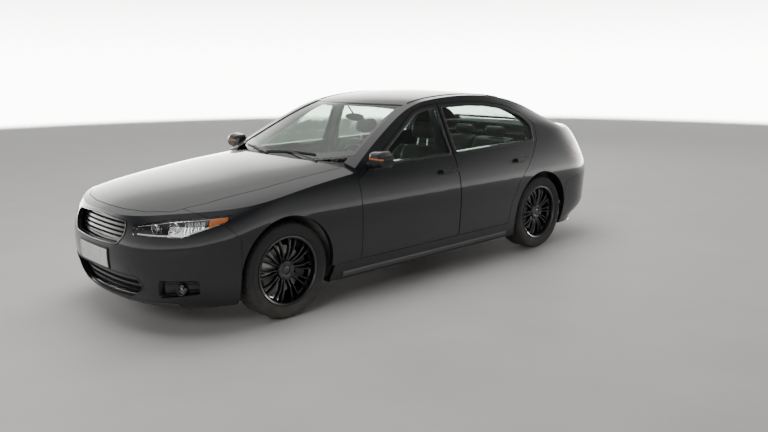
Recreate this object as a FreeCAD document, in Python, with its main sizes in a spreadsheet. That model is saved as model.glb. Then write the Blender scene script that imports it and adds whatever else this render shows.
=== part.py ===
"""A mid-size four-door sedan, as an assembly of body panels, glass, cabin, chassis and wheels.

Millimetres. +X is forward, +Y is the car's left and +Z is up. The origin is on the ground,
under the middle of the car. The body panels are cut out of one hull: horizontal rings lofted
into the sides, nose and tail, closed from above by the bonnet, cabin and deck surfaces.
"""

import FreeCAD, Part
import Sketcher
import math
import os
from FreeCAD import Placement, Rotation, Vector

SIZES = {
    # Overall
    "overall_length": 4850,
    "body_width": 1840,
    "overall_height": 1450,
    "wheelbase": 2830,
    "front_overhang": 960,
    "track_width": 1564,
    "sill_height": 170,
    # Walls, panels and gaps
    "side_wall": 110,
    "door_thickness": 62,
    "door_flange": 15,
    "door_flange_lap": 17,
    "door_seal_room": 25,
    "panel_gap": 5,
    "handle_reach": 34,
    "handle_thickness": 13,
    "fender_thickness": 36,
    "bumper_thickness": 32,
    "bonnet_thickness": 30,
    "roof_thickness": 34,
    "lid_thickness": 32,
    "lid_room": 12,
    "glass_thickness": 5,
    "glass_inset": 9,
    "seal_gap": 0.4,
    "cutter_overrun": 60,
    "door_seal_width": 8,
    "cowl_drop": 12,
    "cowl_thickness": 30,
    "stop_radius": 12,
    "mirror_width": 190,
    "mirror_height": 138,
    "mirror_depth": 98,
    "mirror_arm_radius": 24,
    "mirror_glass_recess": 8,
    "fog_plate_thickness": 12,
    "fog_plate_lap": 12,
    # Wheels and brakes
    "tyre_radius": 334,
    "tyre_width": 226,
    "tyre_shoulder": 16,
    "rim_flange_radius": 241,
    "rim_seat_radius": 229,
    "rim_width": 212,
    "rim_flange": 8,
    "rim_wall": 8,
    "spoke_thickness": 40,
    "spoke_setback": 30,
    "spoke_dish": 16,
    "hub_radius": 78,
    "hub_face": 92,
    "window_inner_radius": 92,
    "window_outer_radius": 205,
    "brake_disc_radius": 163,
    "brake_disc_thickness": 28,
    "brake_disc_offset": 5,
    "disc_hat_radius": 80,
    "disc_hat_wall": 12,
    "hub_flange": 12,
    "spindle_radius": 20,
    "spindle_clearance": 0.3,
    "spindle_reach": 56,
    # Wheel houses
    "arch_radius": 372,
    "arch_rise": 11,
    "liner_thickness": 5,
    "front_liner_radius": 392,
    "front_well_depth": 478,
    "rear_liner_radius": 376,
    "rear_well_depth": 640,
    # Steering and suspension
    "kingpin_low_out": 722,
    "kingpin_low_up": 214,
    "kingpin_top_out": 592,
    "kingpin_top_up": 800,
    "kingpin_sweep_back": 20,
    "ball_radius": 16,
    "ball_stud_radius": 9,
    "strut_radius": 25,
    "spring_radius": 56,
    "spring_wire": 7,
    "spring_turns": 5,
    "arm_thickness": 26,
    "subframe_depth": 60,
    "subframe_width": 90,
    "subframe_half_span": 380,
    "rack_radius": 22,
    "carrier_thickness": 36,
    "carrier_half_height": 95,
    "carrier_half_length": 46,
    "caliper_radius": 184,
    "caliper_wall": 14,
    "caliper_arc": 56,
    # Floor and bulkheads
    "floor_height": 204,
    "floor_thickness": 12,
    "boot_floor_height": 430,
    "tunnel_half_width": 110,
    "tunnel_height": 110,
    "rail_half_spacing": 430,
    "rail_width": 70,
    "rail_height": 100,
    # Engine, exhaust and radiator
    "engine_length": 520,
    "engine_width": 640,
    "engine_height": 470,
    "pipe_radius": 30,
    "tail_pipe_radius": 38,
    "tail_pipe_wall": 3,
    "tail_pipe_length": 150,
    "silencer_radius": 95,
    "silencer_length": 620,
    "radiator_thickness": 40,
    # Cabin
    "seat_width": 520,
    "seat_offset": 370,
    "head_rest_width": 270,
    "dash_screen_room": 27,
    "steering_wheel_radius": 186,
    "steering_grip_radius": 15,
    "steering_hub_radius": 62,
    "column_radius": 34,
    "column_tilt": 24,
    "console_half_width": 105,
}

doc = FreeCAD.newDocument("Sedan")
sheet = doc.addObject("Spreadsheet::Sheet", "Sizes")
for line, (name, value) in enumerate(SIZES.items(), start=1):
    sheet.set(f"A{line}", name)
    sheet.set(f"B{line}", str(value))
    sheet.setAlias(f"B{line}", name)
doc.recompute()


class Dimensions:
    """The sheet's values, read by their alias."""

    def __getattr__(self, alias):
        return float(sheet.get(alias))


dim = Dimensions()

ORIGIN = Vector(0, 0, 0)
AHEAD = Vector(1, 0, 0)
LEFT = Vector(0, 1, 0)
UP = Vector(0, 0, 1)
HALF_TURN = 180

half_length = dim.overall_length / 2
half_width = dim.body_width / 2
height = dim.overall_height
front_axle = half_length - dim.front_overhang
rear_axle = front_axle - dim.wheelbase
wheel_out = dim.track_width / 2
gap = dim.panel_gap
over = dim.cutter_overrun

pieces = []


def add(label, shape):
    """A finished freeform piece as an object of the document."""
    if shape.ShapeType == "Compound" and len(shape.Solids) == 1:
        shape = shape.Solids[0]
    piece = doc.addObject("Part::Feature", label)
    piece.Label = label
    piece.Shape = shape
    pieces.append(piece)
    return piece


def mirrored(shape):
    """The same shape on the car's right side."""
    return shape.mirror(ORIGIN, LEFT)


def add_pair(label, shape):
    """A piece on the left side, and its mirror image on the right."""
    add(f"{label}_left", shape)
    add(f"{label}_right", mirrored(shape))


def largest(shape):
    """The one solid that is left when slivers are dropped."""
    return max(shape.Solids, key=lambda solid: solid.Volume)


# Places, as shares of the sizes that they follow

def along(share):
    """X at a share of the wheelbase behind the front axle."""
    return front_axle - share * dim.wheelbase


def up(share):
    """Z at a share of the overall height."""
    return share * height


def out(share):
    """Y at a share of the body's half width."""
    return share * half_width


# Hull rings: height, half width, front end, rear end, front and rear corner length, and the
# powers of the front and rear corner curves
RING_SHARES = [
    (0.117, 0.924, 0.944, 0.936, 0.30, 0.25, 2.6, 2.9),
    (0.207, 0.970, 0.988, 0.981, 0.32, 0.26, 2.6, 2.9),
    (0.310, 0.991, 0.997, 0.996, 0.33, 0.26, 2.6, 2.9),
    (0.414, 1.000, 0.993, 0.998, 0.33, 0.26, 2.6, 2.9),
    (0.497, 0.994, 0.976, 0.995, 0.34, 0.26, 2.6, 2.9),
    (0.566, 0.971, 0.948, 0.988, 0.35, 0.27, 2.5, 2.8),
    (0.621, 0.938, 0.907, 0.981, 0.36, 0.28, 2.5, 2.8),
    (0.676, 0.897, 0.845, 0.977, 0.37, 0.29, 2.5, 2.7),
    (0.731, 0.852, 0.763, 0.965, 0.38, 0.31, 2.4, 2.6),
    (0.793, 0.804, 0.660, 0.920, 0.38, 0.38, 2.4, 2.4),
    (0.862, 0.752, 0.557, 0.858, 0.39, 0.43, 2.3, 2.3),
    (0.931, 0.700, 0.474, 0.796, 0.39, 0.43, 2.3, 2.3),
    (1.010, 0.643, 0.392, 0.734, 0.39, 0.43, 2.3, 2.3),
]
CORNER_POINTS = 8
SIDE_POINTS = 5


def ring_points(shares, inset):
    """A hull ring's points, from the rear centre round the left side, moved in by inset."""
    level, wide, front, rear, front_corner, rear_corner, front_power, rear_power = shares
    y_most = out(wide) - inset
    x_front = front * half_length - inset
    x_rear = -rear * half_length + inset
    front_start = x_front - front_corner * half_length
    rear_start = x_rear + rear_corner * half_length
    steps = [math.pi / 2 * k / (CORNER_POINTS - 1) for k in range(CORNER_POINTS)]
    half = []
    for turn in steps:
        x = rear_start - (rear_start - x_rear) * math.cos(turn) ** (2 / rear_power)
        half.append((x, y_most * math.sin(turn) ** (2 / rear_power)))
    for k in range(1, SIDE_POINTS):
        half.append((rear_start + (front_start - rear_start) * k / SIDE_POINTS, y_most))
    for turn in reversed(steps):
        x = front_start + (x_front - front_start) * math.cos(turn) ** (2 / front_power)
        half.append((x, y_most * math.sin(turn) ** (2 / front_power)))
    z = max(up(level), dim.sill_height)
    left = [Vector(x, y, z) for x, y in half]
    return left + [Vector(p.x, -p.y, p.z) for p in reversed(left[1:-1])]


def ring_parameters():
    """One set of curve parameters for every ring, so that the hull's surface stays light."""
    loop = ring_points(RING_SHARES[3], 0)
    reached = [0.0]
    for start, end in zip(loop, loop[1:] + loop[:1]):
        reached.append(reached[-1] + (end - start).Length)
    return [length / reached[-1] for length in reached]


RING_PARAMETERS = ring_parameters()


def hull(inset=0):
    """The body's sides, nose and tail as one closed solid, moved in by inset."""
    wires = []
    for shares in RING_SHARES:
        curve = Part.BSplineCurve()
        curve.interpolate(
            Points=ring_points(shares, inset), Parameters=RING_PARAMETERS, PeriodicFlag=True
        )
        wires.append(Part.Wire(curve.toShape()))
    return Part.makeLoft(wires, True, False)


# Surfaces seen from above. Each row: X as a share of the half length, height as a share of the
# overall height, bow back and crown drop at the surface's edge as shares of the half width
BONNET_SHARES = [
    (1.035, 0.462, 0.00, 0.060),
    (1.000, 0.494, 0.00, 0.070),
    (0.960, 0.528, 0.00, 0.075),
    (0.887, 0.575, 0.00, 0.078),
    (0.784, 0.617, 0.00, 0.078),
    (0.660, 0.649, 0.00, 0.076),
    (0.536, 0.675, 0.00, 0.074),
    (0.412, 0.694, 0.00, 0.072),
    (0.289, 0.711, 0.00, 0.070),
    (0.165, 0.726, 0.00, 0.068),
]
CABIN_SHARES = [
    (0.563, 0.534, 0.270, 0.000),
    (0.480, 0.606, 0.255, 0.000),
    (0.398, 0.676, 0.235, 0.000),
    (0.289, 0.768, 0.205, 0.004),
    (0.177, 0.859, 0.170, 0.012),
    (0.082, 0.927, 0.130, 0.026),
    (0.005, 0.965, 0.085, 0.042),
    (-0.082, 0.987, 0.035, 0.056),
    (-0.165, 0.997, 0.000, 0.062),
    (-0.247, 1.000, 0.000, 0.064),
    (-0.350, 0.993, -0.010, 0.062),
    (-0.454, 0.972, -0.035, 0.056),
    (-0.557, 0.931, -0.080, 0.044),
    (-0.660, 0.871, -0.120, 0.032),
    (-0.763, 0.797, -0.150, 0.022),
    (-0.845, 0.733, -0.170, 0.015),
    (-0.928, 0.666, -0.190, 0.010),
]
DECK_SHARES = [
    (-0.618, 0.766, 0.00, 0.036),
    (-0.742, 0.763, 0.00, 0.038),
    (-0.825, 0.758, 0.00, 0.040),
    (-0.907, 0.749, 0.00, 0.044),
    (-0.969, 0.740, 0.00, 0.048),
    (-1.030, 0.729, 0.00, 0.054),
]
EDGE_ROLL_SHARE = 0.85
EDGE_ROLL_POWER = 6
CROSS_STATIONS = 9
CROSS_REACH_SHARE = 1.06


def top_face(rows):
    """A crowned surface over the body, through a grid of points worked out from its rows."""
    grid = []
    for x_share, z_share, bow, drop in rows:
        line = []
        for k in range(CROSS_STATIONS):
            side = 2 * k / (CROSS_STATIONS - 1) - 1
            y = side * CROSS_REACH_SHARE * half_width
            near = abs(y) / half_width
            fall = drop * (near ** 2 + EDGE_ROLL_SHARE * near ** EDGE_ROLL_POWER)
            x = x_share * half_length - bow * half_width * near ** 2
            line.append(Vector(x, y, up(z_share) - fall * half_width))
        grid.append(line)
    surface = Part.BSplineSurface()
    surface.interpolate(grid)
    return surface.toShape()


bonnet_face = top_face(BONNET_SHARES)
cabin_face = top_face(CABIN_SHARES)
deck_face = top_face(DECK_SHARES)


def layer(face, low, high):
    """The slab between a surface moved down by low and moved up by high."""
    return face.translated(Vector(0, 0, -low)).extrude(Vector(0, 0, low + high))


def below(face, low=0):
    """All that lies under a surface that is moved down by low."""
    moved = face.translated(Vector(0, 0, -low))
    return moved.extrude(Vector(0, 0, -height))


# Outlines and prisms

def outline(corners, grow, place):
    """A closed wire of straight sides with round corners, its sides moved out by grow.

    corners holds (u, v, radius); place turns u and v into a point in space.
    """
    count = len(corners)
    twist = sum(
        corners[k - 1][0] * corners[k][1] - corners[k][0] * corners[k - 1][1]
        for k in range(count)
    )
    hand = 1 if twist > 0 else -1
    ways = []
    for k in range(count):
        du = corners[(k + 1) % count][0] - corners[k][0]
        dv = corners[(k + 1) % count][1] - corners[k][1]
        length = math.hypot(du, dv)
        ways.append((du / length, dv / length))
    moved = []
    for k, (u, v, radius) in enumerate(corners):
        (au, av), (bu, bv) = ways[k - 1], ways[k]
        even = 1 + au * bu + av * bv
        side = hand * grow / even
        turned = (au * bv - av * bu) * hand
        moved.append((
            u + (av + bv) * side,
            v - (au + bu) * side,
            max(radius + (grow if turned > 0 else -grow), LEAST_SHARE * over) if radius else 0,
        ))
    starts, ends, middles = [], [], []
    for k, (u, v, radius) in enumerate(moved):
        (au, av), (bu, bv) = ways[k - 1], ways[k]
        before, after = moved[k - 1], moved[(k + 1) % count]
        room = min(math.hypot(u - before[0], v - before[1]), math.hypot(u - after[0], v - after[1]))
        turn = math.acos(max(-1.0, min(1.0, au * bu + av * bv)))
        if not radius or turn < LEAST_SHARE:
            starts.append(place(u, v))
            ends.append(place(u, v))
            middles.append(None)
            continue
        back = min(radius * math.tan(turn / 2), CORNER_ROOM_SHARE * room)
        radius = back / math.tan(turn / 2)
        wu, wv = bu - au, bv - av
        size = math.hypot(wu, wv)
        reach = radius / math.cos(turn / 2) - radius
        starts.append(place(u - au * back, v - av * back))
        ends.append(place(u + bu * back, v + bv * back))
        middles.append(place(u + wu / size * reach, v + wv / size * reach))
    edges = []
    for k in range(count):
        if middles[k] is not None:
            edges.append(Part.Arc(starts[k], middles[k], ends[k]).toShape())
        edges.append(Part.LineSegment(ends[k], starts[(k + 1) % count]).toShape())
    return Part.Wire(edges)


CORNER_ROOM_SHARE = 0.48
LEAST_SHARE = 0.001


def prism(corners, grow, place, near, far, draft=0):
    """The solid between the outline at depth near and the one at depth far, smaller by draft."""
    low = outline(corners, grow, lambda u, v: place(u, v, near))
    high = outline(corners, grow - draft, lambda u, v: place(u, v, far))
    return Part.makeLoft([low, high], True, True)


def seen_from_side(u, v, depth):
    """u is X, v is Z and depth is Y."""
    return Vector(u, depth, v)


def seen_from_above(u, v, depth):
    """u is X, v is Y and depth is Z."""
    return Vector(u, v, depth)


def seen_from_front(u, v, depth):
    """u is Y, v is Z and depth is X."""
    return Vector(depth, u, v)


def side_corners(shares):
    """Corners in side view from shares of the wheelbase and height, with radii in shares too."""
    return [(along(x), up(z), r * height) for x, z, r in shares]


def side_prism(shares, grow=0, inner=0.0, outer=None, draft=0):
    """A prism through the left side, from outside the body in to the depth inner."""
    outer = half_width + over if outer is None else outer
    return prism(side_corners(shares), grow, seen_from_side, outer, inner, draft)


def slanted(angle_deg):
    """Looking at a corner of the body: depth runs along a level line turned from +X."""
    turn = math.radians(angle_deg)

    def place(u, v, depth):
        return Vector(
            depth * math.cos(turn) - u * math.sin(turn),
            depth * math.sin(turn) + u * math.cos(turn),
            v,
        )

    return place


def slanted_corners(points, angle_deg):
    """Corners as seen along a slanted line, from (x share, y share, z share, radius share)."""
    turn = math.radians(angle_deg)
    found = []
    for x, y, z, r in points:
        u = out(y) * math.cos(turn) - x * half_length * math.sin(turn)
        found.append((u, up(z), r * height))
    return found


def rod(start, end, radius):
    """A round bar between two points."""
    way = end - start
    return Part.makeCylinder(radius, way.Length, start, way)


def block(x_low, x_high, y_low, y_high, z_low, z_high):
    """A box between two corners."""
    size = Vector(x_high - x_low, y_high - y_low, z_high - z_low)
    return Part.makeBox(size.x, size.y, size.z, Vector(x_low, y_low, z_low))


def bowed_strip(x_front, front_bow, x_rear, rear_bow, y_reach, z_low, z_high):
    """A plan shape between two bowed lines across the car, as an upright block.

    Each bow is how far back the line's ends lie, at y_reach, from its middle.
    """
    def bowed(x, bow):
        ends = [Vector(x - bow, side * y_reach, z_low) for side in (-1, 1)]
        return ends[0], Vector(x, 0, z_low), ends[1]

    def crossing(points, bow):
        if bow == 0:
            return Part.LineSegment(points[0], points[2]).toShape()
        return Part.Arc(*points).toShape()

    front, rear = bowed(x_front, front_bow), bowed(x_rear, rear_bow)
    edges = [
        crossing(front, front_bow),
        Part.LineSegment(front[2], rear[2]).toShape(),
        crossing(rear[::-1], rear_bow),
        Part.LineSegment(rear[0], front[0]).toShape(),
    ]
    return Part.Face(Part.Wire(edges)).extrude(Vector(0, 0, z_high - z_low))


# The hull and what is cut from it

outer_hull = hull()
left_half = block(-half_length - over, half_length + over, 0, half_width + over, 0, height + over)


def arch(axle, radius):
    """The round opening over a wheel, on the left side."""
    centre = Vector(axle, dim.rear_well_depth - over, dim.tyre_radius + dim.arch_rise)
    return Part.makeCylinder(radius, half_width, centre, LEFT)


front_arch = arch(front_axle, dim.arch_radius)
rear_arch = arch(rear_axle, dim.arch_radius)

# Doors in side view: (share of the wheelbase, share of the height, corner radius share)
FRONT_DOOR_SHARES = [
    (0.2280, 0.209, 0.018),
    (0.2280, 0.560, 0.000),
    (0.2280, 0.609, 0.014),
    (0.2520, 0.630, 0.020),
    (0.4096, 0.812, 0.150),
    (0.4970, 0.912, 0.200),
    (0.5370, 0.930, 0.120),
    (0.6010, 0.941, 0.006),
    (0.6010, 0.209, 0.018),
]
REAR_DOOR_SHARES = [
    (0.6046, 0.209, 0.018),
    (0.6046, 0.941, 0.006),
    (0.7300, 0.943, 0.300),
    (0.8180, 0.932, 0.250),
    (0.9100, 0.904, 0.180),
    (0.9850, 0.846, 0.090),
    (1.0230, 0.776, 0.022),
    (1.0080, 0.690, 0.050),
    (0.9700, 0.618, 0.100),
    (0.9300, 0.545, 0.080),
    (0.8760, 0.452, 0.160),
    (0.8420, 0.330, 0.100),
    (0.8330, 0.209, 0.014),
]
FRONT_WINDOW_SHARES = [
    (0.3060, 0.668, 0.010),
    (0.4170, 0.794, 0.140),
    (0.5000, 0.888, 0.200),
    (0.5400, 0.905, 0.120),
    (0.5880, 0.914, 0.006),
    (0.5880, 0.674, 0.010),
]
REAR_WINDOW_SHARES = [
    (0.6176, 0.675, 0.010),
    (0.6176, 0.916, 0.006),
    (0.7300, 0.918, 0.300),
    (0.8150, 0.908, 0.250),
    (0.9020, 0.880, 0.150),
    (0.9680, 0.828, 0.080),
    (0.9980, 0.774, 0.014),
    (0.9850, 0.690, 0.010),
]


flange_hull = hull(dim.door_flange)
rebate_hull = hull(dim.door_flange + gap)
seal_hull = hull(dim.door_flange + dim.seal_gap)
door_inner_hull = hull(dim.door_thickness)
window_holes = {
    "front": side_prism(FRONT_WINDOW_SHARES),
    "rear": side_prism(REAR_WINDOW_SHARES),
}
glass_outer_hull = hull(dim.glass_inset)
glass_inner_hull = hull(dim.glass_inset + dim.glass_thickness)

# Lamps: points round each lens (shares of half length, half width and height, corner radius)
HEAD_LAMP_ANGLE = 36
HEAD_LAMP_SHARES = [
    (0.948, 0.455, 0.452, 0.010),
    (0.948, 0.455, 0.492, 0.010),
    (0.893, 0.710, 0.522, 0.120),
    (0.775, 0.950, 0.533, 0.006),
    (0.782, 0.955, 0.508, 0.010),
    (0.880, 0.800, 0.452, 0.060),
]
TAIL_LAMP_ANGLE = 142
TAIL_LAMP_SHARES = [
    (-0.975, 0.520, 0.560, 0.012),
    (-0.960, 0.540, 0.655, 0.012),
    (-0.880, 0.900, 0.652, 0.050),
    (-0.780, 0.960, 0.618, 0.008),
    (-0.820, 0.960, 0.560, 0.040),
]
LAMP_DEPTH_SHARE = 0.14


def lamp_prism(points, angle, grow):
    """The space of a lamp, as seen along a slanted line from outside the car's corner."""
    corners = slanted_corners(points, angle)
    return prism(corners, grow, slanted(angle), 0, dim.overall_length)


head_lamp_space = lamp_prism(HEAD_LAMP_SHARES, HEAD_LAMP_ANGLE, 0)
head_lamp_hole = lamp_prism(HEAD_LAMP_SHARES, HEAD_LAMP_ANGLE, gap / 2)
tail_lamp_space = lamp_prism(TAIL_LAMP_SHARES, TAIL_LAMP_ANGLE, 0)
tail_lamp_hole = lamp_prism(TAIL_LAMP_SHARES, TAIL_LAMP_ANGLE, gap / 2)
tail_lamp_seat = lamp_prism(TAIL_LAMP_SHARES, TAIL_LAMP_ANGLE, dim.seal_gap)

# Bonnet in plan: shares of the half length and half width
BONNET_EDGE_SHARES = [
    (0.422, 0.000, 0.600),
    (0.410, 0.330, 0.600),
    (0.358, 0.800, 0.012),
    (0.640, 0.795, 0.200),
    (0.800, 0.745, 0.200),
    (0.885, 0.665, 0.080),
    (0.922, 0.480, 0.200),
    (0.940, 0.240, 0.400),
    (0.944, 0.000, 0.600),
]


def plan_corners(shares):
    """A symmetrical plan outline from the points of its left half."""
    left = [(x * half_length, out(y), r * half_width) for x, y, r in shares]
    right = [(x, -y, r) for x, y, r in reversed(left) if y > 0]
    return left + right


def bonnet_plan(grow):
    """An upright prism over the bonnet."""
    corners = plan_corners(BONNET_EDGE_SHARES)
    return prism(corners, grow, seen_from_above, height / 4, height)


bonnet_slab = layer(bonnet_face, dim.bonnet_thickness, 0)
bonnet_room = layer(bonnet_face, dim.bonnet_thickness + gap, over).common(bonnet_plan(gap))

# Boot lid, seen along a line that slopes up and back
TAIL_START_SHARE = 0.90
LID_TILT = 45
LID_SHARES = [
    (-0.815, 0.000, 0.758, 0.300),
    (-0.815, 0.690, 0.758, 0.012),
    (-0.900, 0.706, 0.745, 0.060),
    (-0.960, 0.700, 0.720, 0.020),
    (-0.975, 0.540, 0.640, 0.030),
    (-0.985, 0.500, 0.460, 0.030),
    (-0.985, 0.000, 0.452, 0.300),
]


def seen_from_behind(u, v, depth):
    """u is Y, depth runs up and back, and v runs up and forward."""
    turn = math.radians(LID_TILT)
    return Vector(
        v * math.sin(turn) - depth * math.cos(turn), u,
        v * math.cos(turn) + depth * math.sin(turn),
    )


def lid_prism(grow):
    """The boot lid's outline, run through the body."""
    turn = math.radians(LID_TILT)
    left = []
    for x, y, z, r in LID_SHARES:
        left.append((out(y), x * half_length * math.sin(turn) + up(z) * math.cos(turn), r * height))
    right = [(-u, v, r) for u, v, r in reversed(left) if u > 0]
    return prism(left + right, grow, seen_from_behind, dim.wheelbase / 3, dim.overall_length)


def lid_inner(offset):
    """What lies inside the boot lid's wall, offset further in."""
    depth = dim.lid_thickness + offset
    zone = block(-half_length, along(TAIL_START_SHARE), -half_width, half_width, 0, height)
    return hull(depth).common(zone).common(below(deck_face, depth))


# Windscreen, roof and rear window lie in layers of the cabin surface
SCREEN_BASE_SHARE = 0.395
SCREEN_BASE_BOW = 0.160
SCREEN_HEAD_SHARE = 0.052
SCREEN_HEAD_BOW = 0.085
REAR_HEAD_SHARE = -0.480
REAR_HEAD_BOW = -0.045
REAR_BASE_SHARE = -0.800
REAR_BASE_BOW = -0.105


def cabin_strip(front_share, front_bow, rear_share, rear_bow, grow=0):
    """The part of the plan between two bowed lines across the cabin."""
    return bowed_strip(
        front_share * half_length + grow, front_bow * half_length,
        rear_share * half_length - grow, rear_bow * half_length,
        half_width, height / 4, height + over,
    )


GLASSHOUSE_SHARES = [
    (0.430, 0.870), (0.330, 0.813), (0.240, 0.741), (0.140, 0.671), (0.045, 0.611),
    (-0.080, 0.589), (-0.210, 0.588), (-0.350, 0.596), (-0.480, 0.611), (-0.620, 0.661),
    (-0.740, 0.718), (-0.860, 0.752),
]


def glasshouse(grow=0):
    """An upright block over roof and screens, with the curved sides that they share."""
    left = [Vector(x * half_length, out(y) + grow, height / 4) for x, y in GLASSHOUSE_SHARES]
    right = [Vector(p.x, -p.y, p.z) for p in reversed(left)]
    edges = []
    for line in (left, right):
        curve = Part.BSplineCurve()
        curve.interpolate(line)
        edges.append(curve.toShape())
    edges.insert(1, Part.LineSegment(left[-1], right[0]).toShape())
    edges.append(Part.LineSegment(right[-1], left[0]).toShape())
    return Part.Face(Part.Wire(edges)).extrude(Vector(0, 0, height))


screen_strip = cabin_strip(SCREEN_BASE_SHARE, SCREEN_BASE_BOW, SCREEN_HEAD_SHARE, SCREEN_HEAD_BOW)
roof_strip = cabin_strip(SCREEN_HEAD_SHARE, SCREEN_HEAD_BOW, REAR_HEAD_SHARE, REAR_HEAD_BOW,
                         -dim.seal_gap)
rear_strip = cabin_strip(REAR_HEAD_SHARE, REAR_HEAD_BOW, REAR_BASE_SHARE, REAR_BASE_BOW)
top_block = glasshouse()
top_room = glasshouse(dim.seal_gap)
glass_layer = layer(cabin_face, dim.glass_inset + dim.glass_thickness, -dim.glass_inset)
glass_floor = below(cabin_face, dim.glass_inset + dim.glass_thickness + dim.seal_gap)
roof_layer = layer(cabin_face, dim.roof_thickness, 0)
roof_floor = below(cabin_face, dim.roof_thickness + dim.seal_gap)

# Bumpers in side view: (x share of the half length, height share)
FRONT_BUMPER_SHARES = [
    (1.050, 0.050, 0.0),
    (0.757, 0.050, 0.0),
    (0.757, 0.300, 0.0),
    (0.757, 0.430, 0.020),
    (0.800, 0.500, 0.020),
    (0.860, 0.560, 0.020),
    (1.050, 0.600, 0.0),
]
REAR_BUMPER_SHARES = [
    (-1.050, 0.050, 0.0),
    (-0.716, 0.050, 0.0),
    (-0.716, 0.400, 0.020),
    (-0.800, 0.430, 0.040),
    (-0.930, 0.444, 0.040),
    (-1.050, 0.444, 0.0),
]


def end_prism(shares, grow):
    """A bumper's zone in side view, run right across the car."""
    corners = [(x * half_length, up(z), r * height) for x, z, r in shares]
    depth = half_width + over
    return prism(corners, grow, seen_from_side, -depth, depth)


front_bumper_zone = end_prism(FRONT_BUMPER_SHARES, 0)
front_bumper_room = end_prism(FRONT_BUMPER_SHARES, gap / 2)
rear_bumper_zone = end_prism(REAR_BUMPER_SHARES, 0)
rear_bumper_room = end_prism(REAR_BUMPER_SHARES, gap / 2)


def merged(shape):
    """The shape without the seams that its booleans left, where these can be taken out."""
    try:
        cleaned = shape.removeSplitter()
    except Part.OCCError:
        return shape
    return cleaned if cleaned.isValid() else shape


def both_sides(shape):
    """A cutter and its mirror image."""
    return [shape, mirrored(shape)]


# Body sides
wall_hull = hull(dim.side_wall)
TAIL_CUT_SHARE = 0.97
TAIL_CUT_REACH_SHARE = 0.47


def wheel_house(axle, radius, depth):
    """The round space that a wheel turns in, on the left side."""
    centre = Vector(axle, depth, dim.tyre_radius + dim.arch_rise)
    return Part.makeCylinder(radius, half_width, centre, LEFT)


def make_body_side():
    """Pillars, sill, roof rail and rear quarter of the left side."""
    fender_line = along(FRONT_DOOR_SHARES[0][0])
    front_zone = block(-half_length, along(0) - dim.arch_radius - gap / 2, 0, half_width, 0, height)
    tail_zone = block(-half_length, along(TAIL_START_SHARE), 0, half_width, 0, height)
    solid = outer_hull.common(front_zone)
    greenhouse = solid.common(below(cabin_face))
    for floor, strip in (
        (glass_floor, screen_strip), (roof_floor, roof_strip), (glass_floor, rear_strip),
    ):
        greenhouse = greenhouse.cut(strip.common(top_room).common(left_half).cut(floor))
    tail = solid.common(tail_zone).common(below(deck_face))
    side = greenhouse.fuse(tail).cut(wall_hull)
    ahead_of_door = block(fender_line + gap / 2, half_length + over, 0, half_width + over,
                          up(FRONT_DOOR_SHARES[0][1]) - gap, height)
    rear_middle = block(-half_length - over, along(TAIL_CUT_SHARE), 0, out(TAIL_CUT_REACH_SHARE),
                        0, height)
    front_house = wheel_house(
        front_axle, dim.front_liner_radius + dim.liner_thickness + dim.seal_gap,
        dim.front_well_depth - dim.seal_gap)
    cutters = [ahead_of_door, rear_middle, rear_bumper_room, rear_arch, front_house]
    cutters += [tail_lamp_seat, lid_prism(gap).cut(lid_inner(gap))]
    for shares in (FRONT_DOOR_SHARES, REAR_DOOR_SHARES):
        lip = side_prism(shares, dim.door_seal_width - dim.door_flange_lap)
        cutters.append(side_prism(shares, gap).cut(lip).cut(rebate_hull))
        cutters.append(lip.cut(seal_hull))
        cutters.append(side_prism(shares, -dim.door_flange_lap))
    for cutter in cutters:
        side = side.cut(cutter)
    return largest(side)


body_side = make_body_side()
add_pair("body_side", body_side)

# Roof, windscreen and rear window
add("roof_panel", largest(roof_layer.common(top_block).common(roof_strip)))
add("windscreen", largest(glass_layer.common(top_block).common(screen_strip)))
add("rear_window", largest(glass_layer.common(top_block).common(rear_strip).cut(
    below(deck_face, -gap))))

# Doors: a flange that laps the body, a deeper box below the window, and a pull handle

HANDLE_LENGTH_SHARE = 0.066
HANDLE_HEIGHT_SHARE = 0.018
HANDLE_POST_SHARE = 0.010
HANDLE_LEVEL_SHARE = 0.588
HANDLE_PLACE_SHARES = {"front": 0.560, "rear": 0.900}
handle_outer = hull(-dim.handle_reach)
handle_gap = hull(-dim.handle_reach + dim.handle_thickness)


def make_handle(place_share):
    """A pull handle that follows the door's skin, on two posts."""
    length = HANDLE_LENGTH_SHARE * dim.wheelbase
    tall = HANDLE_HEIGHT_SHARE * height
    post = HANDLE_POST_SHARE * dim.wheelbase
    x, z = along(place_share), up(HANDLE_LEVEL_SHARE)
    zone = block(x - length / 2, x + length / 2, 0, half_width + over, z - tall / 2, z + tall / 2)
    bar = handle_outer.common(zone).cut(handle_gap)
    posts = []
    for side in (-1, 1):
        middle = x + side * (length - post) / 2
        posts.append(block(middle - post / 2, middle + post / 2, 0, half_width + over,
                           z - tall / 2, z + tall / 2))
    stems = Part.makeCompound(posts).common(handle_outer).cut(flange_hull)
    return bar.fuse(stems)


def make_door(name, shares):
    """One left door, with its window cut and its handle on."""
    panel = outer_hull.common(side_prism(shares))
    inner_edge = dim.door_flange_lap + dim.door_seal_room
    flange = panel.cut(flange_hull)
    box = panel.common(side_prism(shares, -inner_edge)).cut(door_inner_hull)
    door = largest(flange.fuse(box).cut(window_holes[name]))
    return merged(door.fuse(make_handle(HANDLE_PLACE_SHARES[name])))


for name, shares, window_shares in (
    ("front", FRONT_DOOR_SHARES, FRONT_WINDOW_SHARES),
    ("rear", REAR_DOOR_SHARES, REAR_WINDOW_SHARES),
):
    add_pair(f"door_{name}", make_door(name, shares))
    pane = glass_outer_hull.common(side_prism(window_shares, -dim.seal_gap))
    add_pair(f"glass_{name}", largest(pane.cut(glass_inner_hull)))

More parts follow.
